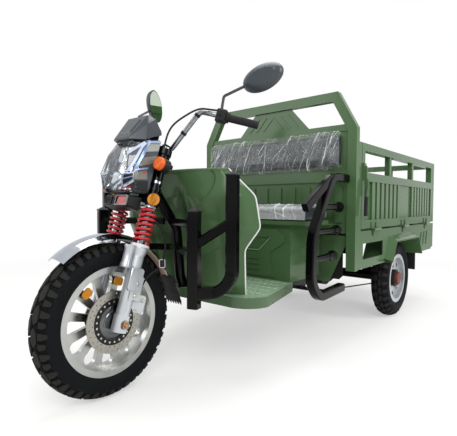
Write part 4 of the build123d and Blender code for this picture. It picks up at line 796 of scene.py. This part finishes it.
# lower cover: framed plain red plate beside a slatted grille. Columns: width, height, bar and thickness of a frame,
# width, height, thickness and edge of a plate
coverSizes = {"framePlace": (36, -97.5, 468), "frame": (80, 44, 7, 7), "plate": (54, 30, 4, 1),
              "grillePlace": (-52, -97.5), "grilleHeight": 468, "grille": (44, 36, 4, 5),
              "slats": range(456, 482, 6), "slat": (36, 3.4, 3, 0.8)}


def frameRing(width, height, bar, thickness, origin, directions):
    # a rectangular frame: one rectangle's edge carried round, outer and inner lines, front edge cut
    outer, inner = chamfered(width, height, 4), chamfered(width - 2 * bar, height - 2 * bar, 2)
    layers = [(outer, 0), (outer, thickness - 1), (outer * 0.985, thickness), (inner * 1.03, thickness),
              (inner, thickness - 1), (inner, 0)]
    return gridSurface(layered(layers, origin, directions), True, True)


def plate(width, height, thickness, edge, origin, facing, corner):
    # a flat plate with cut corners
    return slab(chamfered(width, height, corner), thickness, edge, origin, facing)


def forkShape(surface):
    # a surface drawn in the fork's frame, put in its place
    return onFork(surface[0]), surface[1]


forward = np.array([(-1, 0, 0), (0, 0, 1), (0, -1, 0)], float)
coverFrame = frameRing(*coverSizes["frame"], coverSizes["framePlace"], forward)
coverPlate = plate(*coverSizes["plate"], coverSizes["framePlace"], forward, 3)
grille = [frameRing(*coverSizes["grille"], (*coverSizes["grillePlace"], coverSizes["grilleHeight"]), forward)]
grille += [plate(*coverSizes["slat"], (*coverSizes["grillePlace"], s), forward, 1) for s in coverSizes["slats"]]
addPiece("cover_frame", forkShape(coverFrame), "darkChrome", "steering")
addPiece("cover_plate", forkShape(coverPlate), "redAcrylic", "steering")
addPiece("cover_grille", forkShape(joined(grille)), "blackPlastic", "steering")
print("headlamp dressed")

# Front wheel: drilled brake disc, carrier cover with its bolts, hub dome. Profiles: (radius, distance along) pairs
discSizes = {"inner": 66, "outer": 122, "near": 52, "far": 57, "holes": 28, "hole": 3.0,
             # rows of holes: the ring's inner and outer radius, the holes' radius
             "rows": ((84, 102.5, 96), (102.5, 120.5, 110.5)),
             "cover": [(66.5, 57), (66.5, 57.7), (90, 57.7), (90.6, 57)], "bolts": 22, "boltRadius": 79,
             "bolt": [(0.3, 57.6), (4.4, 57.6), (4.4, 58.2), (3.2, 58.7), (0.3, 58.7)],
             # steps down in rings from the disc's bore to the axle
             "dome": [(12, 52.2), (64, 52.2), (64, 55), (60, 57), (47, 58.5), (44, 61), (33, 62.5), (30, 63.8),
                      (22, 64), (20, 62), (12, 62)]}


def drilledRing(size):
    # a flat ring in cells: each cell is a patch of the ring with a round hole, front, back and hole wall
    step = 2 * np.pi / size["holes"]
    spots = np.array([(-1, -1), (0, -1), (1, -1), (1, 0), (1, 1), (0, 1), (-1, 1), (-1, 0)], float)
    turns = np.arctan2(spots[:, 1], spots[:, 0])
    shapes = []
    for row, (low, high, middle) in enumerate(size["rows"]):
        angle = ((np.arange(size["holes"]) + 0.5 * row) * step)[:, None]
        cell = ((low + high) / 2 + spots[None, :, 1] * (high - low) / 2, angle + spots[None, :, 0] * step / 2)
        hole = (middle + size["hole"] * np.sin(turns)[None], angle + size["hole"] * np.cos(turns)[None] / middle)
        loops = [(*cell, size["far"]), (*hole, size["far"]), (*hole, size["near"]), (*cell, size["near"])]
        points = np.stack([np.stack(np.broadcast_arrays(x, r * np.sin(a), r * np.cos(a)), -1) for r, a, x in loops], 1)
        shapes.append((points.reshape(-1, 3) + hubCentre, [stackFaces(4, 8, size["holes"], 32)]))
    return shapes


hubCentre, sideways = (0, 0, frontHub), (1, 0, 0)
near, far = discSizes["near"], discSizes["far"]
edges = (discSizes["inner"], discSizes["rows"][0][0]), (discSizes["rows"][1][1], discSizes["outer"])
bands = [turned([(a, near), (a, far), (b, far), (b, near)], hubCentre, sideways, 132, True) for a, b in edges]
addPiece("brake_rotor", joined(drilledRing(discSizes) + bands), "groundSteel", "front_wheel", "brake_disc")
coverRing = turned(discSizes["cover"], hubCentre, sideways, 72, True)
addPiece("carrier_cover", coverRing, "blackPlastic", "front_wheel")
boltSpots = circle(discSizes["boltRadius"], discSizes["bolts"])[:, ::-1]
bolts = [turned(discSizes["bolt"], (0, y, frontHub + z), sideways, 6) for y, z in boltSpots]
addPiece("carrier_bolts", joined(bolts), "zincPlate", "front_wheel")
dome = turned(discSizes["dome"], hubCentre, sideways, 64, True)
addPiece("hub_dome", bothSides(dome), "darkChrome", "front_wheel")

# amber reflectors between the spokes
reflectorSizes = {"turns": (-0.68, 0.28), "radius": 156, "x": 22, "plate": (42, 34, 6, 1.2), "corner": 7}
amber = []
for turn in reflectorSizes["turns"]:
    out = np.array((0, math.sin(turn), math.cos(turn)))
    place = hubCentre + out * reflectorSizes["radius"] + (reflectorSizes["x"], 0, 0)
    face = [np.cross(out, sideways), out, sideways]
    amber.append(plate(*reflectorSizes["plate"], place, face, reflectorSizes["corner"]))
addPiece("wheel_reflectors", joined(amber), "amberReflector", "front_wheel")

# axle nuts, pad and caliper bolts, white bands under the springs. Columns of bolts: width across, height
forkSizes = {"nutX": 122.2, "nut": (22, 12), "axleEnd": [(0.4, 14), (9, 14), (9, 17), (7, 18.5), (0.4, 18.5)],
             "padBolts": ((125, 11, 114), (125, 11, 160)), "padBolt": (13, 5),
             "caliperBolts": ((78.5, 72, 64), (78.5, 96, 100)), "caliperBolt": (12, 6),
             "band": [(36.2, 303), (37.6, 303.8), (37.6, 312), (36.2, 312.8)],
             # cast boss beside each leg's top, and the bracket plate over the caliper pad
             "boss": [(0.4, 212), (20, 212), (21.5, 214), (21.5, 226), (19, 232), (19, 280), (22, 290), (22, 300),
                      (0.4, 300)], "bossPlace": (legX, -46, 0),
             "bracket": (62, 92, 14, 2), "bracketPlace": (114, -2, 176), "bracketCorner": 8}
nutPlace = onFork((forkSizes["nutX"], 0, 0))
nut = joined([boltHead(nutPlace, sideways, *forkSizes["nut"]), turned(forkSizes["axleEnd"], nutPlace, sideways, 20)])
addPiece("axle_nuts", bothSides(nut), "yellowZinc", "steering")
padBolts = [boltHead(onFork(p), sideways, *forkSizes["padBolt"]) for p in forkSizes["padBolts"]]
caliperBolts = [boltHead(onFork(p), sideways, *forkSizes["caliperBolt"]) for p in forkSizes["caliperBolts"]]
addPiece("fork_bolts", joined([bothSides(*padBolts), *caliperBolts]), "zincPlate", "steering")
band = turned(forkSizes["band"], onFork((legX, 0, 0)), forkUp, 40, True)
addPiece("spring_bands", bothSides(band), "whiteTrim", "steering")
boss = turned(forkSizes["boss"], onFork(forkSizes["bossPlace"]), forkUp, 32)
bracket = plate(*forkSizes["bracket"], onFork(forkSizes["bracketPlace"]), [forkBack, forkUp, sideways],
                forkSizes["bracketCorner"])
addPiece("leg_bosses", bothSides(boss, bracket), "silverPaint", "steering")
print("front wheel dressed")

# Rear wheels: primer-red hub caps and wheel nuts
rearSizes = {"cap": [(10, 40.2), (45, 40.2), (45, 44), (43, 56), (39, 59.5), (30, 61), (10, 61.6), (0.4, 61.6)],
             "nuts": 5, "nutRadius": 80, "nutX": 14, "nut": (18, 10)}
for side, sideName in ((1, "left"), (-1, "right")):
    body, along = f"rear_wheel_{sideName}", (side, 0, 0)
    cap = turned(rearSizes["cap"], (rearX * side, rearY, rearHub), along, 40)
    addPiece(f"hub_cap_{sideName}", cap, "rustPrimer", body)
    nutX = (rearX + rearSizes["nutX"]) * side
    nuts = [boltHead((nutX, rearY + y, rearHub + z), along, *rearSizes["nut"])
            for z, y in circle(rearSizes["nutRadius"], rearSizes["nuts"])]
    addPiece(f"wheel_nuts_{sideName}", joined(nuts), "zincPlate", body)
print("rear wheels dressed")

# Leg shield: pressed sheet. Each level is a flat middle and two arcs to the edges; the levels between the
# given ones are drawn out straight and then softened, and the cheeks, ribs and creases are pressed in.
shieldSizes = {
    # rows: height, outer edge across and back, crest across and back, middle back
    "levels": np.array([(375, 335, 478, 205, 420, 472), (573, 356, 442, 215, 376, 444), (668, 415, 470, 262, 352, 428),
                        (800, 402, 452, 262, 338, 350), (915, 304, 394, 190, 340, 318)], float),
    "middle": 55, "wall": 4, "rows": 150, "cols": 90, "soften": 14, "cheek": 9, "rib": 5, "crease": 2.5,
    "roll": 9.5, "rollPlace": (0, 7, -6), "edging": 3.6, "edgingPlace": (0, 2, 0),
}


def ramp(x):
    # 0 below 0, 1 above 1, smooth between
    x = np.clip(x, 0, 1)
    return x * x * (3 - 2 * x)


levels = shieldSizes["levels"]
heights = np.linspace(levels[0, 0], levels[-1, 0], shieldSizes["rows"])
rows = np.stack([np.interp(heights, levels[:, 0], levels[:, k]) for k in range(1, 6)])
for turn in range(shieldSizes["soften"]):
    rows[:, 1:-1] = (rows[:, :-2] + 2 * rows[:, 1:-1] + rows[:, 2:]) / 4
edgeX, edgeY, crestX, crestY, middleY = rows
arc = arcThrough((shieldSizes["middle"] + 0 * edgeX, middleY), (crestX, crestY), (edgeX, edgeY), shieldSizes["cols"])
arc = arc.transpose(1, 0, 2)
# shares of the way from the flat middle to the edge, and of the height
u, v = np.linspace(0, 1, shieldSizes["cols"])[None], np.linspace(0, 1, shieldSizes["rows"])[:, None]
# cheeks stand out from three tenths of the way, and from further out near the top
cheekStart = 0.3 + 0.42 * ramp((v - 0.62) / 0.38)
press = shieldSizes["cheek"] * ramp((u - cheekStart) / 0.05) * ramp((0.96 - u) / 0.1) * ramp((v - 0.03) / 0.05)
# one rib runs up each side of the middle, and a fine crease falls across each cheek
ribAcross = ramp((u - 0.09) / 0.02) - ramp((u - 0.17) / 0.02)
press = press + shieldSizes["rib"] * ribAcross * ramp((v - 0.45) / 0.05) * ramp((0.9 - v) / 0.1)
creaseAt = 0.3 + 0.16 * (u - 0.4) / 0.5
press = press - shieldSizes["crease"] * np.exp(-((v - creaseAt) / 0.006) ** 2) * ramp((u - 0.36) / 0.04)
half = np.stack([arc[..., 0], arc[..., 1] - press, np.broadcast_to(heights[:, None], press.shape)], -1)
front = np.concatenate([(half * (-1, 1, 1))[:, ::-1], half], 1)
sheet = np.concatenate([front, front[:, ::-1] + (0, shieldSizes["wall"], 0)], 1)
addPiece("pressed_shield", gridSurface(sheet, False, True, True), "oliveEnamel", "chassis", "leg_shield")
# its top edge is rolled back, and a white round strip runs along each outer edge
roll = swept(circle(shieldSizes["roll"], 14), front[-1] + shieldSizes["rollPlace"])
addPiece("shield_roll", roll, "oliveEnamel", "chassis")
edging = swept(circle(shieldSizes["edging"], 8), half[:, -1] + shieldSizes["edgingPlace"], (0, 1, 0.01))
addPiece("shield_edging", bothSides(edging), "whiteTrim", "chassis")

# Front guards: square tube with rolled corners along the posts, the arms, the bent foot and the brackets
guardSizes = {"inner": (305, 190), "outer": (412, 290), "side": 45, "arm": 37, "bracket": 30, "bend": 85, "edge": 0.13,
              "facing": (0.31, -0.95, 0), "innerHeights": (365, 735), "armHeights": (607, 700), "outerTop": 875,
              "footHeights": (432, 420),
              # rows of brackets: height, end along Y
              "bracketX": 26, "brackets": ((688, 332), (565, 376)),
              # rows of the posts' moulded pyramid caps: half width, height over the post
              "cap": ((20, -4), (22.6, 0), (23.4, 0), (23.4, 3.5), (21.5, 5), (4, 15))}


def bendPath(a, b, c, radius, steps=14):
    # two straight runs joined by an arc that touches both
    a, b, c = (np.asarray(p, float) for p in (a, b, c))
    back, ahead = unit(a - b), unit(c - b)
    half = math.acos(back @ ahead) / 2
    centre = b + unit(back + ahead) * radius / math.sin(half)
    start, end = b + back * radius / math.tan(half), b + ahead * radius / math.tan(half)
    t = np.linspace(0, 1, steps)[:, None]
    arm = (start - centre) * np.sin((1 - t) * (np.pi - 2 * half)) + (end - centre) * np.sin(t * (np.pi - 2 * half))
    return np.concatenate([[a], centre + arm / math.sin(np.pi - 2 * half), [c]])


def guardTube(path, side, up=(0, 0, 1)):
    # a square section with cut corners carried along the path
    return swept(chamfered(side, side, side * guardSizes["edge"]), path, up)


inner, outer, facing = guardSizes["inner"], guardSizes["outer"], guardSizes["facing"]
(armLow, armHigh), (footLow, footEnd) = guardSizes["armHeights"], guardSizes["footHeights"]
innerTop, outerTop = guardSizes["innerHeights"][1], guardSizes["outerTop"]
footPath = bendPath((*outer, outerTop), (*outer, footLow), (*inner, footEnd), guardSizes["bend"])
guards = [guardTube([(*inner, s) for s in guardSizes["innerHeights"]], guardSizes["side"], facing),
          guardTube([(*inner, armLow), (*outer, armHigh)], guardSizes["arm"]),
          guardTube(footPath, guardSizes["side"], facing)]
guards += [guardTube([(*inner, s), (guardSizes["bracketX"], y, s)], guardSizes["bracket"])
           for s, y in guardSizes["brackets"]]
addPiece("guard_tubes", bothSides(*guards), "blackEnamel", "chassis", "front_guards")
facingX, facingY = np.array(facing[:2]) / math.hypot(*facing[:2])
square = np.array([(1, 1), (-1, 1), (-1, -1), (1, -1)]) @ np.array([(facingX, facingY), (-facingY, facingX)])
capLayers = [(square * size, lift) for size, lift in guardSizes["cap"]]
caps = [gridSurface(layered(capLayers, (*post, top), np.eye(3)), False, True, True)
        for post, top in ((inner, innerTop), (outer, outerTop))]
addPiece("post_caps", bothSides(*caps), "blackPlastic", "chassis", flat=True)

# Footboard: rolled tread plate, small lozenges that lean left and right by turns
plateSizes = {"pitch": 34, "long": 15, "wide": 5.4, "top": 375, "start": 506, "back": 838, "columns": 12, "rows": 10,
              # the board's edge: back and half width, and the way the lozenges keep from it
              "edge": ((402, 440, 522, 866), (300, 395, 425, 340)), "margin": 18,
              # rows of a lozenge: size, lift
              "lozenge": ((1.0, -0.6), (0.86, 1.4), (0.4, 2.4))}
column, row = np.meshgrid(np.arange(-plateSizes["columns"], plateSizes["columns"] + 1), np.arange(plateSizes["rows"]))
spotX = (column + 0.5 * (row % 2)) * plateSizes["pitch"]
spotY = plateSizes["start"] + row * plateSizes["pitch"]
halfWidth = np.interp(spotY, *plateSizes["edge"]) - plateSizes["margin"]
kept = (np.abs(spotX) < halfWidth) & (spotY < plateSizes["back"])
spotX, spotY, lean = spotX[kept], spotY[kept], np.where(row[kept] % 2, 1, -1) * np.pi / 4
leanX, leanY = np.cos(lean)[:, None], np.sin(lean)[:, None]
rings = []
for size, lift in plateSizes["lozenge"]:
    a, b = (circle(size, 8) * (plateSizes["long"], plateSizes["wide"])).T
    x, y = spotX[:, None] + a * leanX - b * leanY, spotY[:, None] + a * leanY + b * leanX
    rings.append(np.stack([x, y, np.full_like(x, plateSizes["top"] + lift)], -1))
lugStarts = np.arange(len(spotX))[:, None] * 24
lugFaces = [stackFaces(3, 8, len(spotX), 24), np.arange(16, 24)[None] + lugStarts, np.arange(8)[None, ::-1] + lugStarts]
# the lozenges take the paler enamel: a painted sky reflection on their tops
addPiece("footboard_lugs", (np.concatenate(rings, 1).reshape(-1, 3), lugFaces), "highlightEnamel", "chassis")

# Hose tag: a blank plate in a thin frame, tied to the brake hose
tagSizes = {"facing": (0.74, -0.65, 0.14), "hose": ((88, 140, 247), (94, 138.5, 266), (100, 137, 286)), "stand": 4,
            "plate": (26, 36, 2, 0.5), "frame": (26, 36, 3, 2.8), "tie": [(4.1, -2), (5.4, -2), (5.4, 2), (4.1, 2)]}
hoseBelow, hoseHere, hoseAbove = onFork(tagSizes["hose"])
tagTurn = axes(tagSizes["facing"])
tagPlace = hoseHere + tagTurn[2] * tagSizes["stand"]
tag = plate(*tagSizes["plate"], tagPlace, tagTurn, 2)
tie = turned(tagSizes["tie"], hoseHere, hoseAbove - hoseBelow, 16, True)
addPiece("hose_tag", joined([tag, tie]), "blackPlastic", "steering")
addPiece("hose_tag_frame", frameRing(*tagSizes["frame"], tagPlace, tagTurn), "silverPaint", "steering")

# black sleeves on the fork's upper tubes, between their plated rings
sleeveSizes = {"inside": 23.2, "outside": 24.2, "edge": 1, "ends": ((506, 569), (581, 662), (674, 697))}
inside, outside, edge = (sleeveSizes[k] for k in ("inside", "outside", "edge"))
sleeves = [turned([(inside, low), (outside, low + edge), (outside, high - edge), (inside, high)], onFork((legX, 0, 0)),
                  forkUp, 32, True) for low, high in sleeveSizes["ends"]]
addPiece("tube_sleeves", bothSides(*sleeves), "blackEnamel", "steering")

# Black rubber board under the front wall, put there as painted shade for the dark space under the cargo bed, with a
# pressed green gusset in front of it on each side
underBedSizes = {"board": (880, 246, 4, 1), "place": (0, 1236, 473), "corner": 20, "thick": 4, "edge": 1,
               "gusset": [(286, 596), (472, 596), (470, 552), (374, 338), (286, 338)], "gussetPlace": (0, 1206, 0)}
board = plate(*underBedSizes["board"], underBedSizes["place"], forward, underBedSizes["corner"])
addPiece("shade_board", board, "blackRubber", "chassis")
gussetOutline = np.array(underBedSizes["gusset"], float)[::-1] * (-1, 1)
gusset = slab(gussetOutline, underBedSizes["thick"], underBedSizes["edge"], underBedSizes["gussetPlace"], forward)
addPiece("box_gussets", bothSides(gusset), "oliveEnamel", "chassis")

# Seat guards: square tube bent in one piece, a flat armrest, and pegs that flare to a ball
seatGuardSizes = {
    "across": 475, "side": 42,
    # rows: back, height, bend radius
    "route": [(1176.5, 905, 0), (1000, 905, 95), (806, 620, 200), (801, 400, 110), (870, 316, 105), (1136, 330, 0)],
    "armrest": ((985, 897), (737, 750)), "armrestThick": 30, "armrestEdge": 4,
    # rows of pegs: height, front, back; then their ends across, and rows of the rod: radius, way before the ball
    "pegs": [(754, 900, 1148), (631, 818, 1122), (500, 806, 1078)], "pegAcross": (467, 449), "ball": 28,
    "rod": ((15, 74), (17, 70), (17, 64), (15, 60), (16, 46)),
}
route = np.array(seatGuardSizes["route"], float)
line = np.column_stack([np.full(len(route), seatGuardSizes["across"]), route[:, :2]])
bends = [bendPath(a, b, c, r, 18)[1:-1] for a, b, c, r in zip(line, line[1:], line[2:], route[1:-1, 2])]
armrest = np.array([(seatGuardSizes["across"], *p) for p in seatGuardSizes["armrest"]], float)
armrestSection = chamfered(seatGuardSizes["side"], seatGuardSizes["armrestThick"], seatGuardSizes["armrestEdge"])
seatGuards = [guardTube(np.concatenate([line[:1], *bends, line[-1:]]), seatGuardSizes["side"], sideways),
              swept(armrestSection, armrest, sideways)]
bulge = np.linspace(-0.5, np.pi / 2 - 0.02, 14)
ball = seatGuardSizes["ball"] * np.stack([np.cos(bulge), np.sin(bulge)], -1)
for height, *ends in seatGuardSizes["pegs"]:
    start, stop = (np.array((x, y, height), float) for x, y in zip(seatGuardSizes["pegAcross"], ends))
    far = np.linalg.norm(stop - start)
    rod = [(0.4, 0), (seatGuardSizes["rod"][0][0], 0), *[(radius, far - way) for radius, way in seatGuardSizes["rod"]]]
    seatGuards.append(turned(np.concatenate([rod, ball + (0, far)]), start, stop - start, 32))
addPiece("seat_guard_tubes", bothSides(*seatGuards), "blackEnamel", "chassis", "seat_guards")

# Arch lips: a folded strip round each wheel arch, sloping from the skirt's face to the hood's outer edge
lipSizes = {"corners": [(-360, 418), (-289, 536), (182, 536), (271.5, 418)],
            # rows: across, way out from the arch's line
            "section": ((530.3, 38), (575, 7), (575, 4), (530.3, 35))}


def besideLine(points, away):
    # a line's corners moved outwards by one distance from both of its runs
    run = np.diff(points, axis=0)
    out = unit(np.column_stack([-run[:, 1], run[:, 0]]))
    before, after = np.concatenate([out[:1], out]), np.concatenate([out, out[-1:]])
    return points + away * (before + after) / (1 + (before * after).sum(1, keepdims=True))


lipLine = np.array(lipSizes["corners"], float) + (rearY, 0)
lip = np.stack([np.column_stack([np.full(len(lipLine), x), besideLine(lipLine, away)])
                for x, away in lipSizes["section"]], 1)
lip = gridSurface(lip, False, True, True)
addPiece("arch_lips", bothSides(lip), "oliveEnamel", "chassis", flat=True)

# Gate latches: the lever below each catch, with a rubber sleeve on its end
latchSizes = {"path": [(551, 1277, 905), (556, 1272, 868), (553, 1262, 806), (555, 1254, 705)], "steps": 30,
              "lever": 7, "leverEnd": 22, "sleeve": 10, "sleeveStart": 19, "up": (1, 0, 0.01)}
for side, sideName in ((1, "left"), (-1, "right")):
    path = smoothPath(latchSizes["path"], latchSizes["steps"]) * (side, 1, 1)
    lever = swept(circle(latchSizes["lever"], 10), path[:latchSizes["leverEnd"]], latchSizes["up"])
    sleeve = swept(circle(latchSizes["sleeve"], 14), path[latchSizes["sleeveStart"]:], latchSizes["up"])
    addPiece(f"latch_lever_{sideName}", lever, "oliveEnamel", f"{sideName}_gate")
    addPiece(f"latch_sleeve_{sideName}", sleeve, "blackRubber", f"{sideName}_gate")

# bead along the seat box's pressing, paler as a painted highlight on the fold
beadSizes = {"path": [(-20, 838.5, 527), (151, 838.5, 527), (222, 838.5, 596)], "radius": 2.4}
bead = swept(circle(beadSizes["radius"], 8), beadSizes["path"], (0, 1, 0))
addPiece("box_beads", bothSides(bead), "highlightEnamel", "chassis")

# Cable and hose: smooth lines on the source's own route points, clipped at both ends. Rows of points in the fork's
# frame, then rows of points from the front axle
cordRadius = 4
cordSizes = {
    "throttle_cable": ("control_cable", [(118, -22, 722.3), (118, -25, 766), (140, -31, 809), (172, -21, 845),
                                         (212, 26, 912)], [(239, 358, 1160), (263, 372.7, 1156)]),
    "brake_line": ("brake_hose", [(62, 84, 120.3), (62, 84, 150), (70, 98, 206), (88, 140, 247), (100, 137, 286),
                                  (112, 112, 363), (100, 70, 415), (60, 25, 445), (60, 25, 477.7)], []),
}
for cordName, (node, forkRows, axleRows) in cordSizes.items():
    route = toFrame([*onFork(forkRows), *axleRows])
    curve = bpy.data.curves.new(cordName, "CURVE")
    curve.dimensions, curve.resolution_u, curve.bevel_resolution, curve.use_fill_caps = "3D", 12, 4, True
    spline = curve.splines.new("NURBS")
    spline.points.add(len(route) - 1)
    spline.points.foreach_set("co", np.column_stack([route, np.ones(len(route))]).ravel())
    spline.order_u = 3
    spline.use_endpoint_u = True
    cordPiece = addObject(cordName, curve)
    cordLength = float(wayAlong(readPoints(bpy.data.meshes.new_from_object(cordPiece)))[-1])
    curve.bevel_depth = cordRadius * mm
    curve.materials.append(finishes["blackRubber"])
    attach(cordPiece, "steering")
    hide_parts(node)
    print(cordName, round(cordLength, 3), "m")

# black ties round the handlebar and its cable, measured from the bar's middle
tieSizes = {"bar": (0, 62.8, 755.9), "at": ((118, 21, 67.4), (178, 43.5, 139.6)), "along": (128, 48, 154),
            "ring": [(11.1, -6), (13.4, -6), (13.4, 6), (11.1, 6)]}
ties = [turned(tieSizes["ring"], onFork(tieSizes["bar"]) + p, tieSizes["along"], 24, True) for p in tieSizes["at"]]
addPiece("bar_ties", bothSides(*ties), "blackPlastic", "steering")

# Turn lamps and reflectors: pressed facets on their faces, and a black cup behind each turn lamp
facetSizes = {
    "turn_facets": {"place": (152, -63.5, 636), "radius": 25.5, "bulge": 5, "relief": 1.1, "petals": 8,
                    "finish": "amberAcrylic"},
    "reflector_facets": {"place": (132, -32, 496), "radius": 22.5, "bulge": 1, "relief": 0.9, "petals": 3,
                         "finish": "amberReflector"},
}
cupSizes = {"place": (152, -14, 636), "profile": [(26.6, -30), (28.6, -31), (28.6, 1), (24, 4), (10, 4.5)]}


def facetFace(spec):
    # a shallow dome on polar lines: its height falls with the square of the way out, and crossed waves of the
    # turn and of the way out press small facets into it; its rim is set back
    out, turn = np.meshgrid(np.linspace(0.02, 1, 26), np.linspace(0, 2 * np.pi, 97)[:-1], indexing="ij")
    waves = np.abs(np.sin(spec["petals"] * turn)) * np.abs(np.sin(3 * np.pi * out))
    lift = spec["bulge"] * (1 - out ** 2) + spec["relief"] * waves - 0.6 * (out > 0.99)
    points = np.stack([spec["radius"] * out * np.cos(turn), -lift, spec["radius"] * out * np.sin(turn)], -1)
    return gridSurface(onFork(points + spec["place"]), False, True, True)


for facetName, spec in facetSizes.items():
    addPiece(facetName, bothSides(facetFace(spec)), spec["finish"], "steering")
cup = turned(cupSizes["profile"], onFork(cupSizes["place"]), forkBack, 36)
addPiece("turn_cups", bothSides(cup), "blackPlastic", "steering")

# visor's raised pod: its front face's back, height and half width below and above; shares of it; then the pod's
# edge, rounded over 6 mm. The board closes the visor's rear.
podSizes = {"low": (-152, 720, 50), "high": (-104, 835, 64), "across": 0.74, "from": 0.16, "to": 0.84, "lift": 4,
            "edgeAcross": 57, "edgeUp": 125, "round": 6, "facing": (-0.92, 0.39),
            "board": (168, 56, 4, 1), "boardPlace": (0, -33, 764), "boardCorner": 12}
podU, podV = np.meshgrid(np.linspace(-1, 1, 40) * podSizes["across"], np.linspace(podSizes["from"], podSizes["to"], 30))
podEdge = np.minimum((podSizes["across"] - np.abs(podU)) * podSizes["edgeAcross"],
                     np.minimum(podV - podSizes["from"], podSizes["to"] - podV) * podSizes["edgeUp"])
podLift = (podSizes["lift"] + 1) * ramp(podEdge / podSizes["round"]) - 1
podY, podS, podHalf = (low + (high - low) * podV for low, high in zip(podSizes["low"], podSizes["high"]))
pod = np.stack([podU * podHalf, podY + podLift * podSizes["facing"][0], podS + podLift * podSizes["facing"][1]], -1)
addPiece("visor_pod", gridSurface(onFork(pod)), "greyPlastic", "steering")
visorBoard = plate(*podSizes["board"], podSizes["boardPlace"], forward, podSizes["boardCorner"])
addPiece("visor_board", forkShape(visorBoard), "smokedAcrylic", "steering")
print("body trim made")
